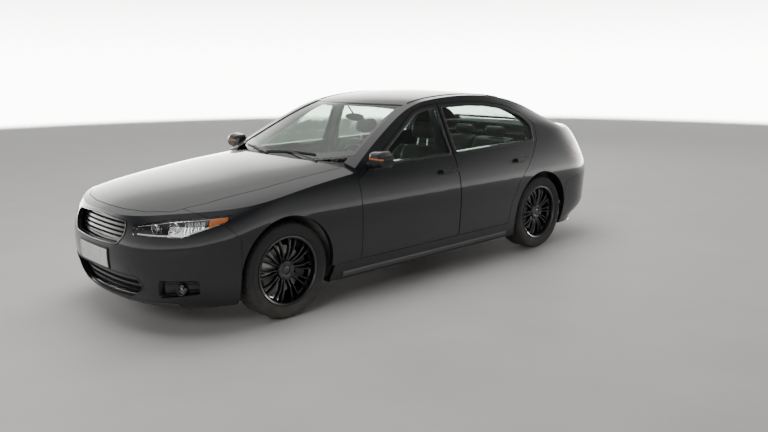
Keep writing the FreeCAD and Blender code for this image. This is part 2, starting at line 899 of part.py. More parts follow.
# Bonnet, front fenders and front bumper
FENDER_INNER_SHARE = 0.50
add("bonnet", largest(bonnet_slab.common(outer_hull).common(bonnet_plan(0))))


def make_fender():
    """The left front fender, from the door to the bumper and up to the bonnet's edge."""
    door_line = along(FRONT_DOOR_SHARES[0][0]) + gap
    sill_line = up(FRONT_DOOR_SHARES[0][1]) - gap / 2
    zone = block(door_line, half_length, out(FENDER_INNER_SHARE), half_width, sill_line, height)
    outer = outer_hull.common(zone).common(below(bonnet_face))
    shell = outer.cut(hull(dim.fender_thickness).common(below(bonnet_face, dim.fender_thickness)))
    corner = BONNET_EDGE_SHARES[2]
    behind_bonnet = block(0, corner[0] * half_length + gap, 0, out(corner[1]) + dim.seal_gap, 0,
                          height)
    under_bonnet = layer(bonnet_face, 2 * dim.fender_thickness, over).common(bonnet_plan(gap))
    for cutter in (front_bumper_room, under_bonnet, front_arch, head_lamp_hole, behind_bonnet):
        shell = shell.cut(cutter)
    return largest(shell)


add_pair("front_fender", make_fender())

UPPER_GRILLE_SHARES = [
    (0.000, 0.396, 0.30),
    (0.340, 0.402, 0.030),
    (0.415, 0.452, 0.040),
    (0.395, 0.498, 0.020),
    (0.000, 0.512, 0.30),
]
LOWER_GRILLE_SHARES = [
    (0.000, 0.160, 0.30),
    (0.420, 0.164, 0.020),
    (0.560, 0.215, 0.020),
    (0.520, 0.262, 0.020),
    (0.000, 0.268, 0.30),
]
FOG_POCKET_SHARES = [
    (0.640, 0.172, 0.010),
    (0.860, 0.196, 0.012),
    (0.880, 0.262, 0.012),
    (0.690, 0.262, 0.012),
]


NOSE_START_SHARE = 0.70


def front_prism(shares, grow, symmetrical=True):
    """An opening in the nose, seen from the front."""
    left = [(out(y), up(z), r * height) for y, z, r in shares]
    right = [(-y, z, r) for y, z, r in reversed(left) if y > 0] if symmetrical else []
    return prism(left + right, grow, seen_from_front, NOSE_START_SHARE * half_length,
                 half_length + over)


def make_front_bumper():
    """The front bumper cover, with its intakes and lamp pockets cut through."""
    wall = dim.bumper_thickness
    shell = outer_hull.common(front_bumper_zone).cut(hull(wall).common(below(bonnet_face, wall)))
    cutters = [bonnet_room, front_prism(UPPER_GRILLE_SHARES, 0), front_prism(LOWER_GRILLE_SHARES, 0)]
    for cutter in (front_arch, head_lamp_hole, front_prism(FOG_POCKET_SHARES, 0, False)):
        cutters += both_sides(cutter)
    shell = shell.common(below(bonnet_face))
    for cutter in cutters:
        shell = shell.cut(cutter)
    return largest(shell)


add("front_bumper", make_front_bumper())

# Grilles: bars across each intake, joined by a frame round the edge
GRILLE_BAR_SHARE = 0.010
GRILLE_DEPTH_SHARE = 0.020
UPPER_BARS = 5
LOWER_BARS = 3


grille_depth = GRILLE_DEPTH_SHARE * half_length
grille_front = hull(grille_depth)
grille_back = hull(2 * grille_depth)


def make_grille(shares, bars):
    """A frame that fills an intake's edge and the bars that cross it."""
    zone = front_prism(shares, -dim.seal_gap)
    frame = zone.cut(front_prism(shares, -GRILLE_BAR_SHARE * height))
    levels = [z for y, z, r in shares]
    half_bar = GRILLE_BAR_SHARE * height / 2
    rungs = []
    for k in range(bars):
        level = up(min(levels) + (max(levels) - min(levels)) * (k + 1) / (bars + 1))
        rungs.append(block(0, half_length + over, -half_width, half_width,
                           level - half_bar, level + half_bar).common(zone))
    return frame.fuse(rungs).common(grille_front).cut(grille_back)


upper_grille = make_grille(UPPER_GRILLE_SHARES, UPPER_BARS)
lower_grille = make_grille(LOWER_GRILLE_SHARES, LOWER_BARS)
plate_front = dim.bumper_thickness + dim.seal_gap
fog_plate = front_prism(FOG_POCKET_SHARES, dim.fog_plate_lap, False).common(hull(plate_front))
fog_plate = largest(fog_plate.cut(hull(plate_front + dim.fog_plate_thickness)))
add("grilles", Part.makeCompound(
    upper_grille.Solids + lower_grille.Solids + both_sides(fog_plate)))

# Head lamps and tail lamps
lamp_inner = hull(LAMP_DEPTH_SHARE * half_width)
lens_hull = hull(dim.glass_thickness)
lamp_hull = hull(dim.glass_thickness + dim.seal_gap)


def lamp_solid(space, face, cutters):
    """What the body's skin and a lamp's outline close in, on the left side."""
    solid = outer_hull.common(space).common(below(face)).common(left_half)
    for cutter in cutters:
        solid = solid.cut(cutter)
    return solid


head_lamp = lamp_solid(head_lamp_space, bonnet_face, [bonnet_room, front_arch])
head_body = largest(head_lamp.common(lamp_hull).cut(lamp_inner))
head_lens = largest(head_lamp.cut(lens_hull))
add("head_lamps", Part.makeCompound([head_body, mirrored(head_body)]))
add("head_lamp_lenses", Part.makeCompound([head_lens, mirrored(head_lens)]))
tail_lamp = lamp_solid(tail_lamp_space, deck_face, [rear_arch])
tail = largest(tail_lamp.cut(lamp_inner))
add("tail_lamps", Part.makeCompound([tail, mirrored(tail)]))

# Boot lid and rear bumper
PIPE_LEVEL_SHARE = 0.169
TAIL_PIPE_OUT_SHARE = 0.50
boot_lid = outer_hull.common(lid_prism(0)).common(below(deck_face)).cut(lid_inner(0))
boot_lid = boot_lid.cut(both_sides(tail_lamp_hole) + [below(cabin_face).common(layer(
    cabin_face, dim.glass_inset + dim.glass_thickness + gap, 0))])
add("boot_lid", largest(boot_lid))


def make_rear_bumper():
    """The rear bumper cover."""
    shell = outer_hull.common(rear_bumper_zone).cut(hull(dim.bumper_thickness))
    pipe_rooms = []
    for side in (-1, 1):
        start = Vector(-half_length - over, side * out(TAIL_PIPE_OUT_SHARE), up(PIPE_LEVEL_SHARE))
        pipe_rooms.append(Part.makeCylinder(dim.tail_pipe_radius + 2 * gap, half_width, start,
                                            AHEAD))
    for cutter in both_sides(rear_arch) + pipe_rooms + [lid_prism(gap)]:
        shell = shell.cut(cutter)
    return largest(shell)


add("rear_bumper", make_rear_bumper())

# Floor, bulkheads and rails
seal = dim.seal_gap
floor_top = dim.floor_height + dim.floor_thickness
boot_top = dim.boot_floor_height
FIREWALL_SHARE = 0.165
KICK_UP_SHARE = 0.836
TAIL_PANEL_SHARE = 0.966
COWL_TOP_SHARE = 0.640
RAIL_LEVEL_SHARE = 0.262
BEAM_SHARE = 0.905
BEAM_REACH_SHARE = 0.58
STOP_PLACE_SHARE = 0.30
LATCH_TOP_SHARE = 0.500
firewall = along(FIREWALL_SHARE)
kick_up = along(KICK_UP_SHARE)
tail_panel = -TAIL_PANEL_SHARE * half_length
inner_room = hull(dim.side_wall + seal)
cowl_depth = dim.cowl_drop + dim.cowl_thickness
rail_level = up(RAIL_LEVEL_SHARE)
rail_top = rail_level + dim.rail_height
rail_front = BEAM_SHARE * half_length


def make_floor():
    """Floor, tunnel, bulkhead, boot floor, tail panel and front rails as one pressing."""
    wall = dim.floor_thickness
    wide = half_width
    front_floor = block(kick_up, firewall, -wide, wide, dim.floor_height, floor_top)
    riser = block(kick_up - wall, kick_up, -wide, wide, dim.floor_height, boot_top)
    boot_floor = block(tail_panel, kick_up, -wide, wide, boot_top - wall, boot_top)
    bulkhead = block(firewall, firewall + wall, -wide, wide, dim.floor_height, up(COWL_TOP_SHARE))
    pan = front_floor.fuse([riser, boot_floor, bulkhead])
    tunnel_top = dim.floor_height + dim.tunnel_height
    tunnel = block(kick_up, firewall, -dim.tunnel_half_width, dim.tunnel_half_width,
                   dim.floor_height, tunnel_top)
    tunnel_inside = block(kick_up - over, firewall + over, wall - dim.tunnel_half_width,
                          dim.tunnel_half_width - wall, 0, tunnel_top - wall)
    pan = pan.fuse(tunnel).cut(tunnel_inside).common(inner_room)
    pan = pan.cut(layer(bonnet_face, cowl_depth + seal, over))
    room = wheel_house(rear_axle, dim.rear_liner_radius + dim.liner_thickness + seal,
                       dim.rear_well_depth - seal)
    pan = pan.cut(both_sides(room))
    tail = block(tail_panel - wall, tail_panel, -wide, wide, dim.sill_height + gap,
                 up(LID_SHARES[-1][2]) - gap)
    tail = tail.common(hull(dim.bumper_thickness + seal))
    latch = block(tail_panel - wall, tail_panel, -over, over, up(LID_SHARES[-1][2]) - over,
                  up(LATCH_TOP_SHARE))
    latch_level = up(LATCH_TOP_SHARE) - 2 * dim.stop_radius
    lid_stop = rod(Vector(tail_panel - wall / 2, 0, latch_level),
                   Vector(-half_length, 0, latch_level), dim.stop_radius).common(lid_inner(seal))
    rails = []
    for side in (-1, 1):
        middle = side * dim.rail_half_spacing
        rails.append(block(firewall, rail_front, middle - dim.rail_width / 2,
                           middle + dim.rail_width / 2, rail_level, rail_top))
    return merged(pan.fuse([tail, latch, lid_stop] + rails + front_end()))


def front_end():
    """The beam ahead of the rails, and what carries the bumper, the head lamps and the bonnet."""
    half = dim.rail_width / 2
    back = rail_front - dim.rail_width
    skin = hull(dim.bumper_thickness + seal)
    reach = out(BEAM_REACH_SHARE)
    found = [block(back, rail_front, -reach, reach, rail_level, rail_top).common(skin)]
    bracket_low = up(max(z for y, z, r in LOWER_GRILLE_SHARES)) + gap
    lamp_low = up(min(z for x, y, z, r in HEAD_LAMP_SHARES)) - seal
    member = block(back, back + half, -dim.rail_half_spacing - half,
                   dim.rail_half_spacing + half, lamp_low - half, lamp_low)
    found.append(member)
    for side in (-1, 1):
        middle = side * dim.rail_half_spacing
        bracket = block(back, half_length, middle - half, middle + half, bracket_low, rail_top)
        post = block(back, rail_front + dim.rail_width, middle - half, middle + half,
                     bracket_low, lamp_low)
        foot = Vector(back + half / 2, side * out(STOP_PLACE_SHARE), lamp_low - half)
        stop = rod(foot, Vector(foot.x, foot.y, height), dim.stop_radius)
        stop = stop.common(below(bonnet_face, dim.bonnet_thickness + seal))
        found += [bracket.common(skin), post.common(skin), stop]
    return found


floor_pan = make_floor()
add("floor_pan", largest(floor_pan))

# Wheel house liners
TOWER_RADIUS_SHARE = 0.052
kingpin_low = Vector(front_axle, dim.kingpin_low_out, dim.kingpin_low_up)
kingpin_top = Vector(front_axle - dim.kingpin_sweep_back, dim.kingpin_top_out, dim.kingpin_top_up)
STRUT_FOOT_SHARE = 0.262
STRUT_FOOT_OUT_SHARE = 0.683
strut_foot = Vector(front_axle, out(STRUT_FOOT_OUT_SHARE), up(STRUT_FOOT_SHARE))
strut_way = kingpin_top - strut_foot
strut_length = strut_way.Length
strut_way.normalize()
kingpin_way = kingpin_top - kingpin_low
kingpin_way.normalize()


def make_front_liner():
    """The left front liner, with a tower that carries the strut's top."""
    outer = wheel_house(front_axle, dim.front_liner_radius + dim.liner_thickness,
                        dim.front_well_depth)
    room = wheel_house(front_axle, dim.front_liner_radius,
                       dim.front_well_depth + dim.liner_thickness)
    shell = outer.cut(room)
    tower_radius = TOWER_RADIUS_SHARE * height
    start = kingpin_top - strut_way * (strut_length / 2)
    tower = rod(start, kingpin_top + strut_way * dim.floor_thickness, tower_radius)
    hollow = rod(start - strut_way * over, kingpin_top - strut_way * gap,
                 tower_radius - dim.liner_thickness)
    shell = shell.cut(hollow).fuse(tower.cut([hollow, room]))
    low = block(-half_length, half_length, 0, half_width, 0, dim.floor_height + gap)
    lower_wall = block(front_axle - dim.rim_flange_radius, front_axle + dim.rim_flange_radius, 0,
                       dim.front_well_depth + over, 0, kingpin_low.z + over)
    stud_hole = rod(kingpin_top - kingpin_way * over, kingpin_top + kingpin_way * over,
                    dim.strut_radius / 2 + seal)
    shell = shell.cut([low, lower_wall, stud_hole])
    shell = shell.common(hull(dim.fender_thickness + seal))
    return largest(shell)


def make_rear_liner():
    """The left rear liner."""
    outer = wheel_house(rear_axle, dim.rear_liner_radius + dim.liner_thickness,
                        dim.rear_well_depth)
    room = wheel_house(rear_axle, dim.rear_liner_radius,
                       dim.rear_well_depth + dim.liner_thickness)
    low = block(-half_length, half_length, 0, half_width, 0, dim.floor_height + gap)
    open_hub = Part.makeCylinder(dim.rim_seat_radius, over * 2, Vector(
        rear_axle, dim.rear_well_depth - over, dim.tyre_radius), LEFT)
    shell = outer.cut([room, low, open_hub]).common(hull(dim.side_wall + seal))
    return largest(shell)


front_liner = make_front_liner()
rear_liner = make_rear_liner()
add("wheel_liners", Part.makeCompound([
    front_liner, mirrored(front_liner), rear_liner, mirrored(rear_liner)]))

# Suspension
ARM_ROOT_SHARE = 0.190
HALF_SHARE = 0.5
ARM_TIP_SHARE = 0.025
SPRING_LOW_SHARE = 0.44
BOSS_SHARE = 2.4
STUD_SHARE = 2.4
SPRING_ROOM_SHARE = 1.5


def disc_face(side_out):
    """Y of the brake disc's inner face on the left side."""
    return wheel_out + dim.brake_disc_offset - dim.brake_disc_thickness / 2 + side_out


def make_spindle():
    """The stub axle that a wheel's hub turns on, on the left side, around the origin's line."""
    back = disc_face(-gap) - dim.carrier_thickness
    return back, wheel_out + dim.spindle_reach


def make_carrier(axle):
    """Carrier plate, stub axle and brake caliper of a left wheel."""
    back, spindle_end = make_spindle()
    face = disc_face(-gap)
    centre = dim.tyre_radius
    plate = block(axle - dim.carrier_half_length, axle + dim.carrier_half_length, back, face,
                  centre - dim.carrier_half_height, centre + dim.carrier_half_height)
    spindle = rod(Vector(axle, back, centre), Vector(axle, spindle_end, centre),
                  dim.spindle_radius)
    wall = dim.caliper_wall
    low = dim.carrier_half_length
    inner_leg_out = disc_face(-gap)
    bridge_out = disc_face(0) + dim.brake_disc_thickness + gap + wall
    bridge_low = dim.brake_disc_radius + gap
    leg_low = dim.disc_hat_radius + 2 * wall
    profile = [
        (low, inner_leg_out - wall), (dim.caliper_radius, inner_leg_out - wall),
        (dim.caliper_radius, bridge_out), (leg_low, bridge_out), (leg_low, bridge_out - wall),
        (bridge_low, bridge_out - wall), (bridge_low, inner_leg_out), (low, inner_leg_out),
    ]
    wire = Part.makePolygon([Vector(axle - r, y, centre) for r, y in profile + profile[:1]])
    face_shape = Part.Face(wire)
    line = Vector(axle, 0, centre)
    face_shape.rotate(line, LEFT, -dim.caliper_arc / 2)
    caliper = face_shape.revolve(line, LEFT, dim.caliper_arc)
    return plate, spindle, caliper


def spring_unit(low, top, radius, wire, turns):
    """The outline of a coil spring between two points, its coils as ridges."""
    length = (top - low).Length
    pitch = length / turns
    points = [Vector(0, 0, 0)]
    for k in range(turns):
        points.append(Vector(radius - wire, 0, k * pitch))
        points.append(Vector(radius + wire, 0, (k + HALF_SHARE) * pitch))
    points += [Vector(radius - wire, 0, length), Vector(0, 0, length)]
    unit = Part.Face(Part.makePolygon(points + points[:1])).revolve(ORIGIN, UP, 2 * HALF_TURN)
    unit.Placement = Placement(low, Rotation(UP, top - low))
    return unit


def make_knuckle():
    """The left knuckle with its stub axle, caliper, strut and spring."""
    plate, spindle, caliper = make_carrier(front_axle)
    boss_low = kingpin_low + kingpin_way * dim.arm_thickness
    boss = rod(boss_low, boss_low + kingpin_way * dim.carrier_half_length,
               dim.ball_stud_radius * BOSS_SHARE)
    bore = rod(kingpin_low, kingpin_low + kingpin_way * dim.carrier_half_height,
               dim.ball_stud_radius + dim.spindle_clearance)
    strut_top = kingpin_top - strut_way * (2 * gap)
    strut = rod(strut_foot, strut_top, dim.strut_radius)
    stud = rod(kingpin_top - kingpin_way * (4 * gap),
               kingpin_top + kingpin_way * dim.floor_thickness, dim.strut_radius / 2)
    bracket = block(
        front_axle - dim.strut_radius, front_axle + dim.strut_radius, strut_foot.y,
        disc_face(-gap) - dim.carrier_thickness / 2, strut_foot.z,
        strut_foot.z + 2 * dim.strut_radius,
    )
    spring_low = strut_foot + strut_way * (strut_length * SPRING_LOW_SHARE)
    spring_top = strut_top - strut_way * (2 * dim.spring_wire)
    spring = spring_unit(spring_low, spring_top, dim.spring_radius - dim.spring_wire,
                         dim.spring_wire, int(dim.spring_turns))
    body = plate.fuse([spindle, caliper, boss, strut, stud, bracket, spring])
    return largest(merged(body.cut(bore)))


def make_front_suspension():
    """Subframe and lower arms, with the ball studs that the knuckles turn on."""
    half = dim.subframe_width / 2
    low = dim.floor_height - dim.arm_thickness
    top = low + dim.subframe_depth
    span = dim.subframe_half_span
    frame = block(front_axle - half, front_axle + half, -span, span, low, top)
    legs = []
    for side in (-1, 1):
        middle = side * dim.rail_half_spacing
        legs.append(block(front_axle - half, front_axle + half, middle - dim.rail_width / 2,
                          middle + dim.rail_width / 2, low, up(RAIL_LEVEL_SHARE) - seal))
    root = ARM_ROOT_SHARE * dim.track_width / 2
    tip = ARM_TIP_SHARE * dim.track_width
    arms = []
    for side in (-1, 1):
        corners = [
            Vector(front_axle - root, side * (span - over), low),
            Vector(front_axle + root, side * (span - over), low),
            Vector(front_axle + tip, side * kingpin_low.y, low),
            Vector(front_axle - tip, side * kingpin_low.y, low),
        ]
        arm = Part.Face(Part.makePolygon(corners + corners[:1])).extrude(UP * dim.arm_thickness)
        foot = Vector(kingpin_low.x, side * kingpin_low.y, low)
        end = Part.makeCylinder(tip, dim.arm_thickness, foot)
        base = Vector(kingpin_low.x, side * kingpin_low.y, kingpin_low.z)
        crown = Vector(kingpin_top.x, side * kingpin_top.y, kingpin_top.z)
        way = crown - base
        way.normalize()
        stud = rod(base - way * dim.ball_radius, base + way * (dim.arm_thickness * STUD_SHARE),
                   dim.ball_stud_radius)
        arms += [arm, end, stud]
    rack_x = front_axle - half - dim.rack_radius / 2
    rack_z = top - dim.rack_radius
    rack = rod(Vector(rack_x, -span, rack_z), Vector(rack_x, span, rack_z), dim.rack_radius)
    return largest(merged(frame.fuse(legs + arms + [rack])))


def make_rear_suspension():
    """Cross member, arms, springs and the fixed carriers with the rear stub axles."""
    half = dim.subframe_width / 2
    low = dim.floor_height + dim.subframe_width
    top = low + dim.subframe_depth
    span = dim.subframe_half_span
    parts = [block(rear_axle - half, rear_axle + half, -span, span, low, top)]
    for side in (-1, 1):
        plate, spindle, caliper = make_carrier(rear_axle)
        caliper.rotate(Vector(rear_axle, 0, dim.tyre_radius), LEFT, HALF_TURN)
        arm = block(rear_axle - dim.carrier_half_length, rear_axle + dim.carrier_half_length,
                    span - over, disc_face(-gap) - dim.carrier_thickness / 2, low,
                    low + dim.arm_thickness)
        seat = Vector(rear_axle, dim.rear_well_depth - dim.spring_radius * SPRING_ROOM_SHARE,
                      low + dim.arm_thickness)
        top_seat = Vector(seat.x, seat.y, boot_top - dim.floor_thickness - seal)
        spring = spring_unit(seat, top_seat, dim.spring_radius - dim.spring_wire,
                             dim.spring_wire, int(dim.spring_turns) // 2)
        mount = block(rear_axle - half, rear_axle + half, dim.rail_half_spacing
                      - dim.rail_width, dim.rail_half_spacing - dim.rail_width / 2, low,
                      boot_top - dim.floor_thickness - seal)
        group = [plate, spindle, caliper, arm, mount, spring]
        parts += group if side > 0 else [mirrored(shape) for shape in group]
    return largest(merged(parts[0].fuse(parts[1:])))


front_suspension = make_front_suspension()
add("front_suspension", front_suspension)
add("rear_suspension", make_rear_suspension())
add_pair("knuckle", make_knuckle())

# Engine, radiator, fuel tank and exhaust
ENGINE_LOW_SHARE = 0.228
ENGINE_PLACE_SHARE = 0.075
RADIATOR_PLACE_SHARE = 0.842
RADIATOR_REACH_SHARE = 0.37
RADIATOR_LOW_SHARE = 0.165
RADIATOR_TOP_SHARE = 0.500
TANK_REAR_SHARE = 0.955
TANK_REACH_SHARE = 0.44
SILENCER_PLACE_SHARE = -0.820
TAIL_PIPE_END_SHARE = -0.985

engine_low = up(ENGINE_LOW_SHARE)
engine_middle = front_axle + ENGINE_PLACE_SHARE * dim.engine_length
engine = block(engine_middle - dim.engine_length / 2, engine_middle + dim.engine_length / 2,
               -dim.engine_width / 2, dim.engine_width / 2, engine_low,
               engine_low + dim.engine_height)
engine_mounts = block(front_axle - dim.subframe_width / 2, front_axle + dim.subframe_width / 2,
                      -dim.tunnel_half_width, dim.tunnel_half_width,
                      dim.floor_height - dim.arm_thickness + dim.subframe_depth + seal, engine_low)
add("engine_block", merged(engine.fuse(engine_mounts)))

radiator_x = RADIATOR_PLACE_SHARE * half_length
radiator = block(radiator_x, radiator_x + dim.radiator_thickness, -out(RADIATOR_REACH_SHARE),
                 out(RADIATOR_REACH_SHARE), up(RADIATOR_LOW_SHARE), up(RADIATOR_TOP_SHARE))
side_mounts = block(radiator_x, radiator_x + dim.radiator_thickness,
                    -dim.rail_half_spacing + dim.rail_width / 2 + seal,
                    dim.rail_half_spacing - dim.rail_width / 2 - seal,
                    up(RAIL_LEVEL_SHARE), up(RAIL_LEVEL_SHARE) + dim.rail_height)
add("radiator", merged(radiator.fuse(side_mounts)))

tank_low = dim.floor_height + dim.floor_thickness
tank = block(along(TANK_REAR_SHARE), kick_up - dim.floor_thickness - seal,
             -out(TANK_REACH_SHARE), out(TANK_REACH_SHARE), tank_low,
             boot_top - dim.floor_thickness - seal)
pipe_level = up(PIPE_LEVEL_SHARE)
tank_groove = block(along(TANK_REAR_SHARE) - over, kick_up, -dim.tunnel_half_width,
                    dim.tunnel_half_width, 0, pipe_level + 2 * dim.pipe_radius)
tank = tank.cut(tank_groove)
tank = tank.makeFillet(dim.pipe_radius, [
    edge for edge in tank.Edges
    if abs(edge.Vertexes[0].Z - edge.Vertexes[-1].Z) > dim.pipe_radius
    and edge.Vertexes[0].X < along(TANK_REAR_SHARE) + gap
    and abs(edge.Vertexes[0].Y) > dim.tunnel_half_width + over])
add("fuel_tank", tank)


def make_exhaust():
    """Down pipe, centre pipe, rear silencer and two tail pipes."""
    radius = dim.pipe_radius
    down_x = front_axle - dim.subframe_width / 2 - dim.rail_width
    silencer_x = SILENCER_PLACE_SHARE * half_length
    silencer_z = pipe_level + dim.silencer_radius / 2
    down = rod(Vector(down_x, 0, engine_low - seal), Vector(down_x, 0, pipe_level), radius)
    centre = rod(Vector(down_x, 0, pipe_level), Vector(silencer_x, 0, pipe_level), radius)
    elbow = Part.makeSphere(radius, Vector(down_x, 0, pipe_level))
    half = dim.silencer_length / 2
    silencer = rod(Vector(silencer_x, -half, silencer_z), Vector(silencer_x, half, silencer_z),
                   dim.silencer_radius)
    silencer = silencer.makeFillet(radius, silencer.Edges[:1] + silencer.Edges[2:])
    pipe_end = TAIL_PIPE_END_SHARE * half_length
    shapes = [down, centre, elbow, silencer]
    bores = []
    for side in (-1, 1):
        y = side * out(TAIL_PIPE_OUT_SHARE)
        inner = Vector(silencer_x, side * (half - radius), pipe_level)
        bend = Vector(pipe_end + 2 * dim.tail_pipe_length, y, pipe_level)
        shapes.append(rod(inner, bend, radius))
        shapes.append(Part.makeSphere(radius, bend))
        shapes.append(rod(bend, Vector(pipe_end + dim.tail_pipe_length / 2, y, pipe_level), radius))
        tip = Vector(pipe_end, y, pipe_level)
        shapes.append(rod(Vector(pipe_end + dim.tail_pipe_length, y, pipe_level), tip,
                          dim.tail_pipe_radius))
        bores.append(rod(tip, Vector(pipe_end + dim.tail_pipe_length / 2, y, pipe_level),
                         dim.tail_pipe_radius - dim.tail_pipe_wall))
    return largest(merged(shapes[0].fuse(shapes[1:]).cut(bores)))


add("exhaust", make_exhaust())

# Cabin
DASH_SHARES = [
    (0.1660, 0.430, 0.010),
    (0.1660, 0.634, 0.010),
    (0.1900, 0.647, 0.030),
    (0.2700, 0.652, 0.040),
    (0.3150, 0.640, 0.030),
    (0.3220, 0.600, 0.020),
    (0.3000, 0.500, 0.030),
    (0.2600, 0.430, 0.020),
]
CONSOLE_END_SHARE = 0.56
CONSOLE_TOP_SHARE = 0.345
WHEEL_PLACE_SHARE = 0.395
WHEEL_LEVEL_SHARE = 0.607
SEAT_SHARES = [
    (0.400, 0.220, 0.020),
    (0.385, 0.320, 0.040),
    (0.410, 0.345, 0.040),
    (0.525, 0.318, 0.060),
    (0.610, 0.690, 0.050),
    (0.640, 0.700, 0.040),
    (0.660, 0.680, 0.050),
    (0.595, 0.300, 0.060),
    (0.570, 0.220, 0.020),
]
SEAT_LEG_SHARES = [
    (0.420, 0.1490, 0.0),
    (0.420, 0.2300, 0.0),
    (0.560, 0.2300, 0.0),
    (0.560, 0.1490, 0.0),
]
HEAD_REST_SHARES = [
    (0.633, 0.715, 0.030),
    (0.628, 0.800, 0.030),
    (0.640, 0.830, 0.020),
    (0.660, 0.830, 0.020),
    (0.672, 0.800, 0.030),
    (0.664, 0.715, 0.030),
]
REAR_SEAT_SHARES = [
    (0.7150, 0.1495, 0.010),
    (0.7150, 0.318, 0.040),
    (0.7300, 0.334, 0.030),
    (0.8900, 0.315, 0.060),
    (0.9600, 0.685, 0.030),
    (0.9900, 0.700, 0.020),
    (1.0080, 0.690, 0.020),
    (0.9500, 0.2970, 0.010),
    (0.8340, 0.2970, 0.000),
    (0.8340, 0.1495, 0.000),
]
REAR_HEAD_SHARES = [
    (0.970, 0.690, 0.010),
    (0.966, 0.750, 0.025),
    (0.985, 0.765, 0.020),
    (1.003, 0.750, 0.025),
    (1.000, 0.690, 0.010),
]
REAR_SEAT_REACH_SHARE = 0.67
REAR_HEAD_PLACE_SHARE = 0.42
SHELF_LEVEL_SHARE = 0.700


def wide_prism(shares, y_low, y_high):
    """A side view outline run across the car between two places."""
    return prism(side_corners(shares), 0, seen_from_side, y_high, y_low)


column_way = Vector(-math.cos(math.radians(dim.column_tilt)), 0,
                    math.sin(math.radians(dim.column_tilt)))
wheel_centre = Vector(along(WHEEL_PLACE_SHARE), dim.seat_offset, up(WHEEL_LEVEL_SHARE))
column_reach = 2 * dim.steering_wheel_radius
SHAFT_SHARE = 0.45
SPOKE_WIDTH_SHARE = 1.6
SPOKE_DEPTH_SHARE = 1.2
HEAD_ROD_SHARES = (0.650, 0.660, 0.760)
TUNNEL_ROOM_SHARE = 0.70
STRIP_FRONT_SHARE = 1.02


def make_dashboard():
    """Dashboard, centre console and steering column cover."""
    dash = wide_prism(DASH_SHARES, -half_width, half_width).common(inner_room)
    console = block(along(CONSOLE_END_SHARE), along(DASH_SHARES[-1][0]),
                    -dim.console_half_width, dim.console_half_width,
                    dim.floor_height + dim.tunnel_height + seal, up(CONSOLE_TOP_SHARE))
    stack = block(along(DASH_SHARES[5][0]), firewall - gap, -dim.console_half_width,
                  dim.console_half_width, dim.floor_height + dim.tunnel_height + seal,
                  up(DASH_SHARES[1][1]) - over)
    near = wheel_centre - column_way * (dim.steering_hub_radius)
    cover = rod(near, wheel_centre - column_way * column_reach, dim.column_radius)
    shaft_room = rod(near + column_way * over, near - column_way * (2 * over),
                     dim.column_radius * SHAFT_SHARE + dim.spindle_clearance)
    dash = dash.cut(layer(cabin_face, dim.dash_screen_room, over))
    dash = dash.cut(layer(bonnet_face, cowl_depth + seal, over))
    return largest(merged(dash.fuse([console, stack, cover]).cut(shaft_room)))


add("dashboard", make_dashboard())


def make_steering_wheel():
    """Rim, hub, three spokes and a short shaft."""
    radius = dim.steering_wheel_radius
    grip = dim.steering_grip_radius
    hub_thickness = 2 * grip
    rim = Part.makeTorus(radius, grip, wheel_centre, column_way)
    hub = rod(wheel_centre - column_way * (dim.steering_hub_radius - gap), wheel_centre,
              dim.steering_hub_radius)
    shaft = rod(wheel_centre, wheel_centre - column_way * (dim.steering_hub_radius + over),
                dim.column_radius * SHAFT_SHARE)
    across = LEFT
    lower = column_way.cross(LEFT)
    if lower.z > 0:
        lower = lower * -1
    spokes = []
    for way in (across, across * -1, lower):
        side = column_way.cross(way)
        width = grip * SPOKE_WIDTH_SHARE
        centre = wheel_centre - column_way * (hub_thickness / 2)
        corners = [
            centre + side * width, centre + side * width + way * radius,
            centre - side * width + way * radius, centre - side * width,
        ]
        spokes.append(Part.Face(Part.makePolygon(corners + corners[:1])).extrude(
            column_way * (grip * SPOKE_DEPTH_SHARE)))
    return largest(merged(rim.fuse([hub, shaft] + spokes)))


add("steering_wheel", make_steering_wheel())


def make_front_seat():
    """The left front seat, with its head rest and its frame on the floor."""
    y_low = dim.seat_offset - dim.seat_width / 2
    y_high = dim.seat_offset + dim.seat_width / 2
    seat = wide_prism(SEAT_SHARES, y_low, y_high)
    legs = wide_prism(SEAT_LEG_SHARES, y_low + over, y_high - over)
    rest = wide_prism(HEAD_REST_SHARES, dim.seat_offset - dim.head_rest_width / 2,
                      dim.seat_offset + dim.head_rest_width / 2)
    rods = []
    place, low, high = HEAD_ROD_SHARES
    foot = Vector(along(place), 0, up(low))
    head = Vector(along(place), 0, up(high))
    for side in (-1, 1):
        shift = Vector(0, dim.seat_offset + side * dim.head_rest_width / 4, 0)
        rods.append(rod(foot + shift, head + shift, dim.ball_stud_radius))
    return largest(merged(seat.fuse([legs, rest] + rods)))


front_seat = make_front_seat()
add("front_seats", Part.makeCompound([front_seat, mirrored(front_seat)]))


def make_rear_seat():
    """The rear bench with three head rests."""
    reach = out(REAR_SEAT_REACH_SHARE)
    seat = wide_prism(REAR_SEAT_SHARES, -reach, reach)
    half = dim.head_rest_width / 2
    rests = []
    for k in (-1, 0, 1):
        middle = k * out(REAR_HEAD_PLACE_SHARE)
        rests.append(wide_prism(REAR_HEAD_SHARES, middle - half, middle + half))
    tunnel_room = block(kick_up, along(TUNNEL_ROOM_SHARE), -dim.tunnel_half_width - seal,
                        dim.tunnel_half_width + seal, 0,
                        dim.floor_height + dim.tunnel_height + seal)
    return largest(merged(seat.fuse(rests).cut(tunnel_room)))


add("rear_seat", make_rear_seat())


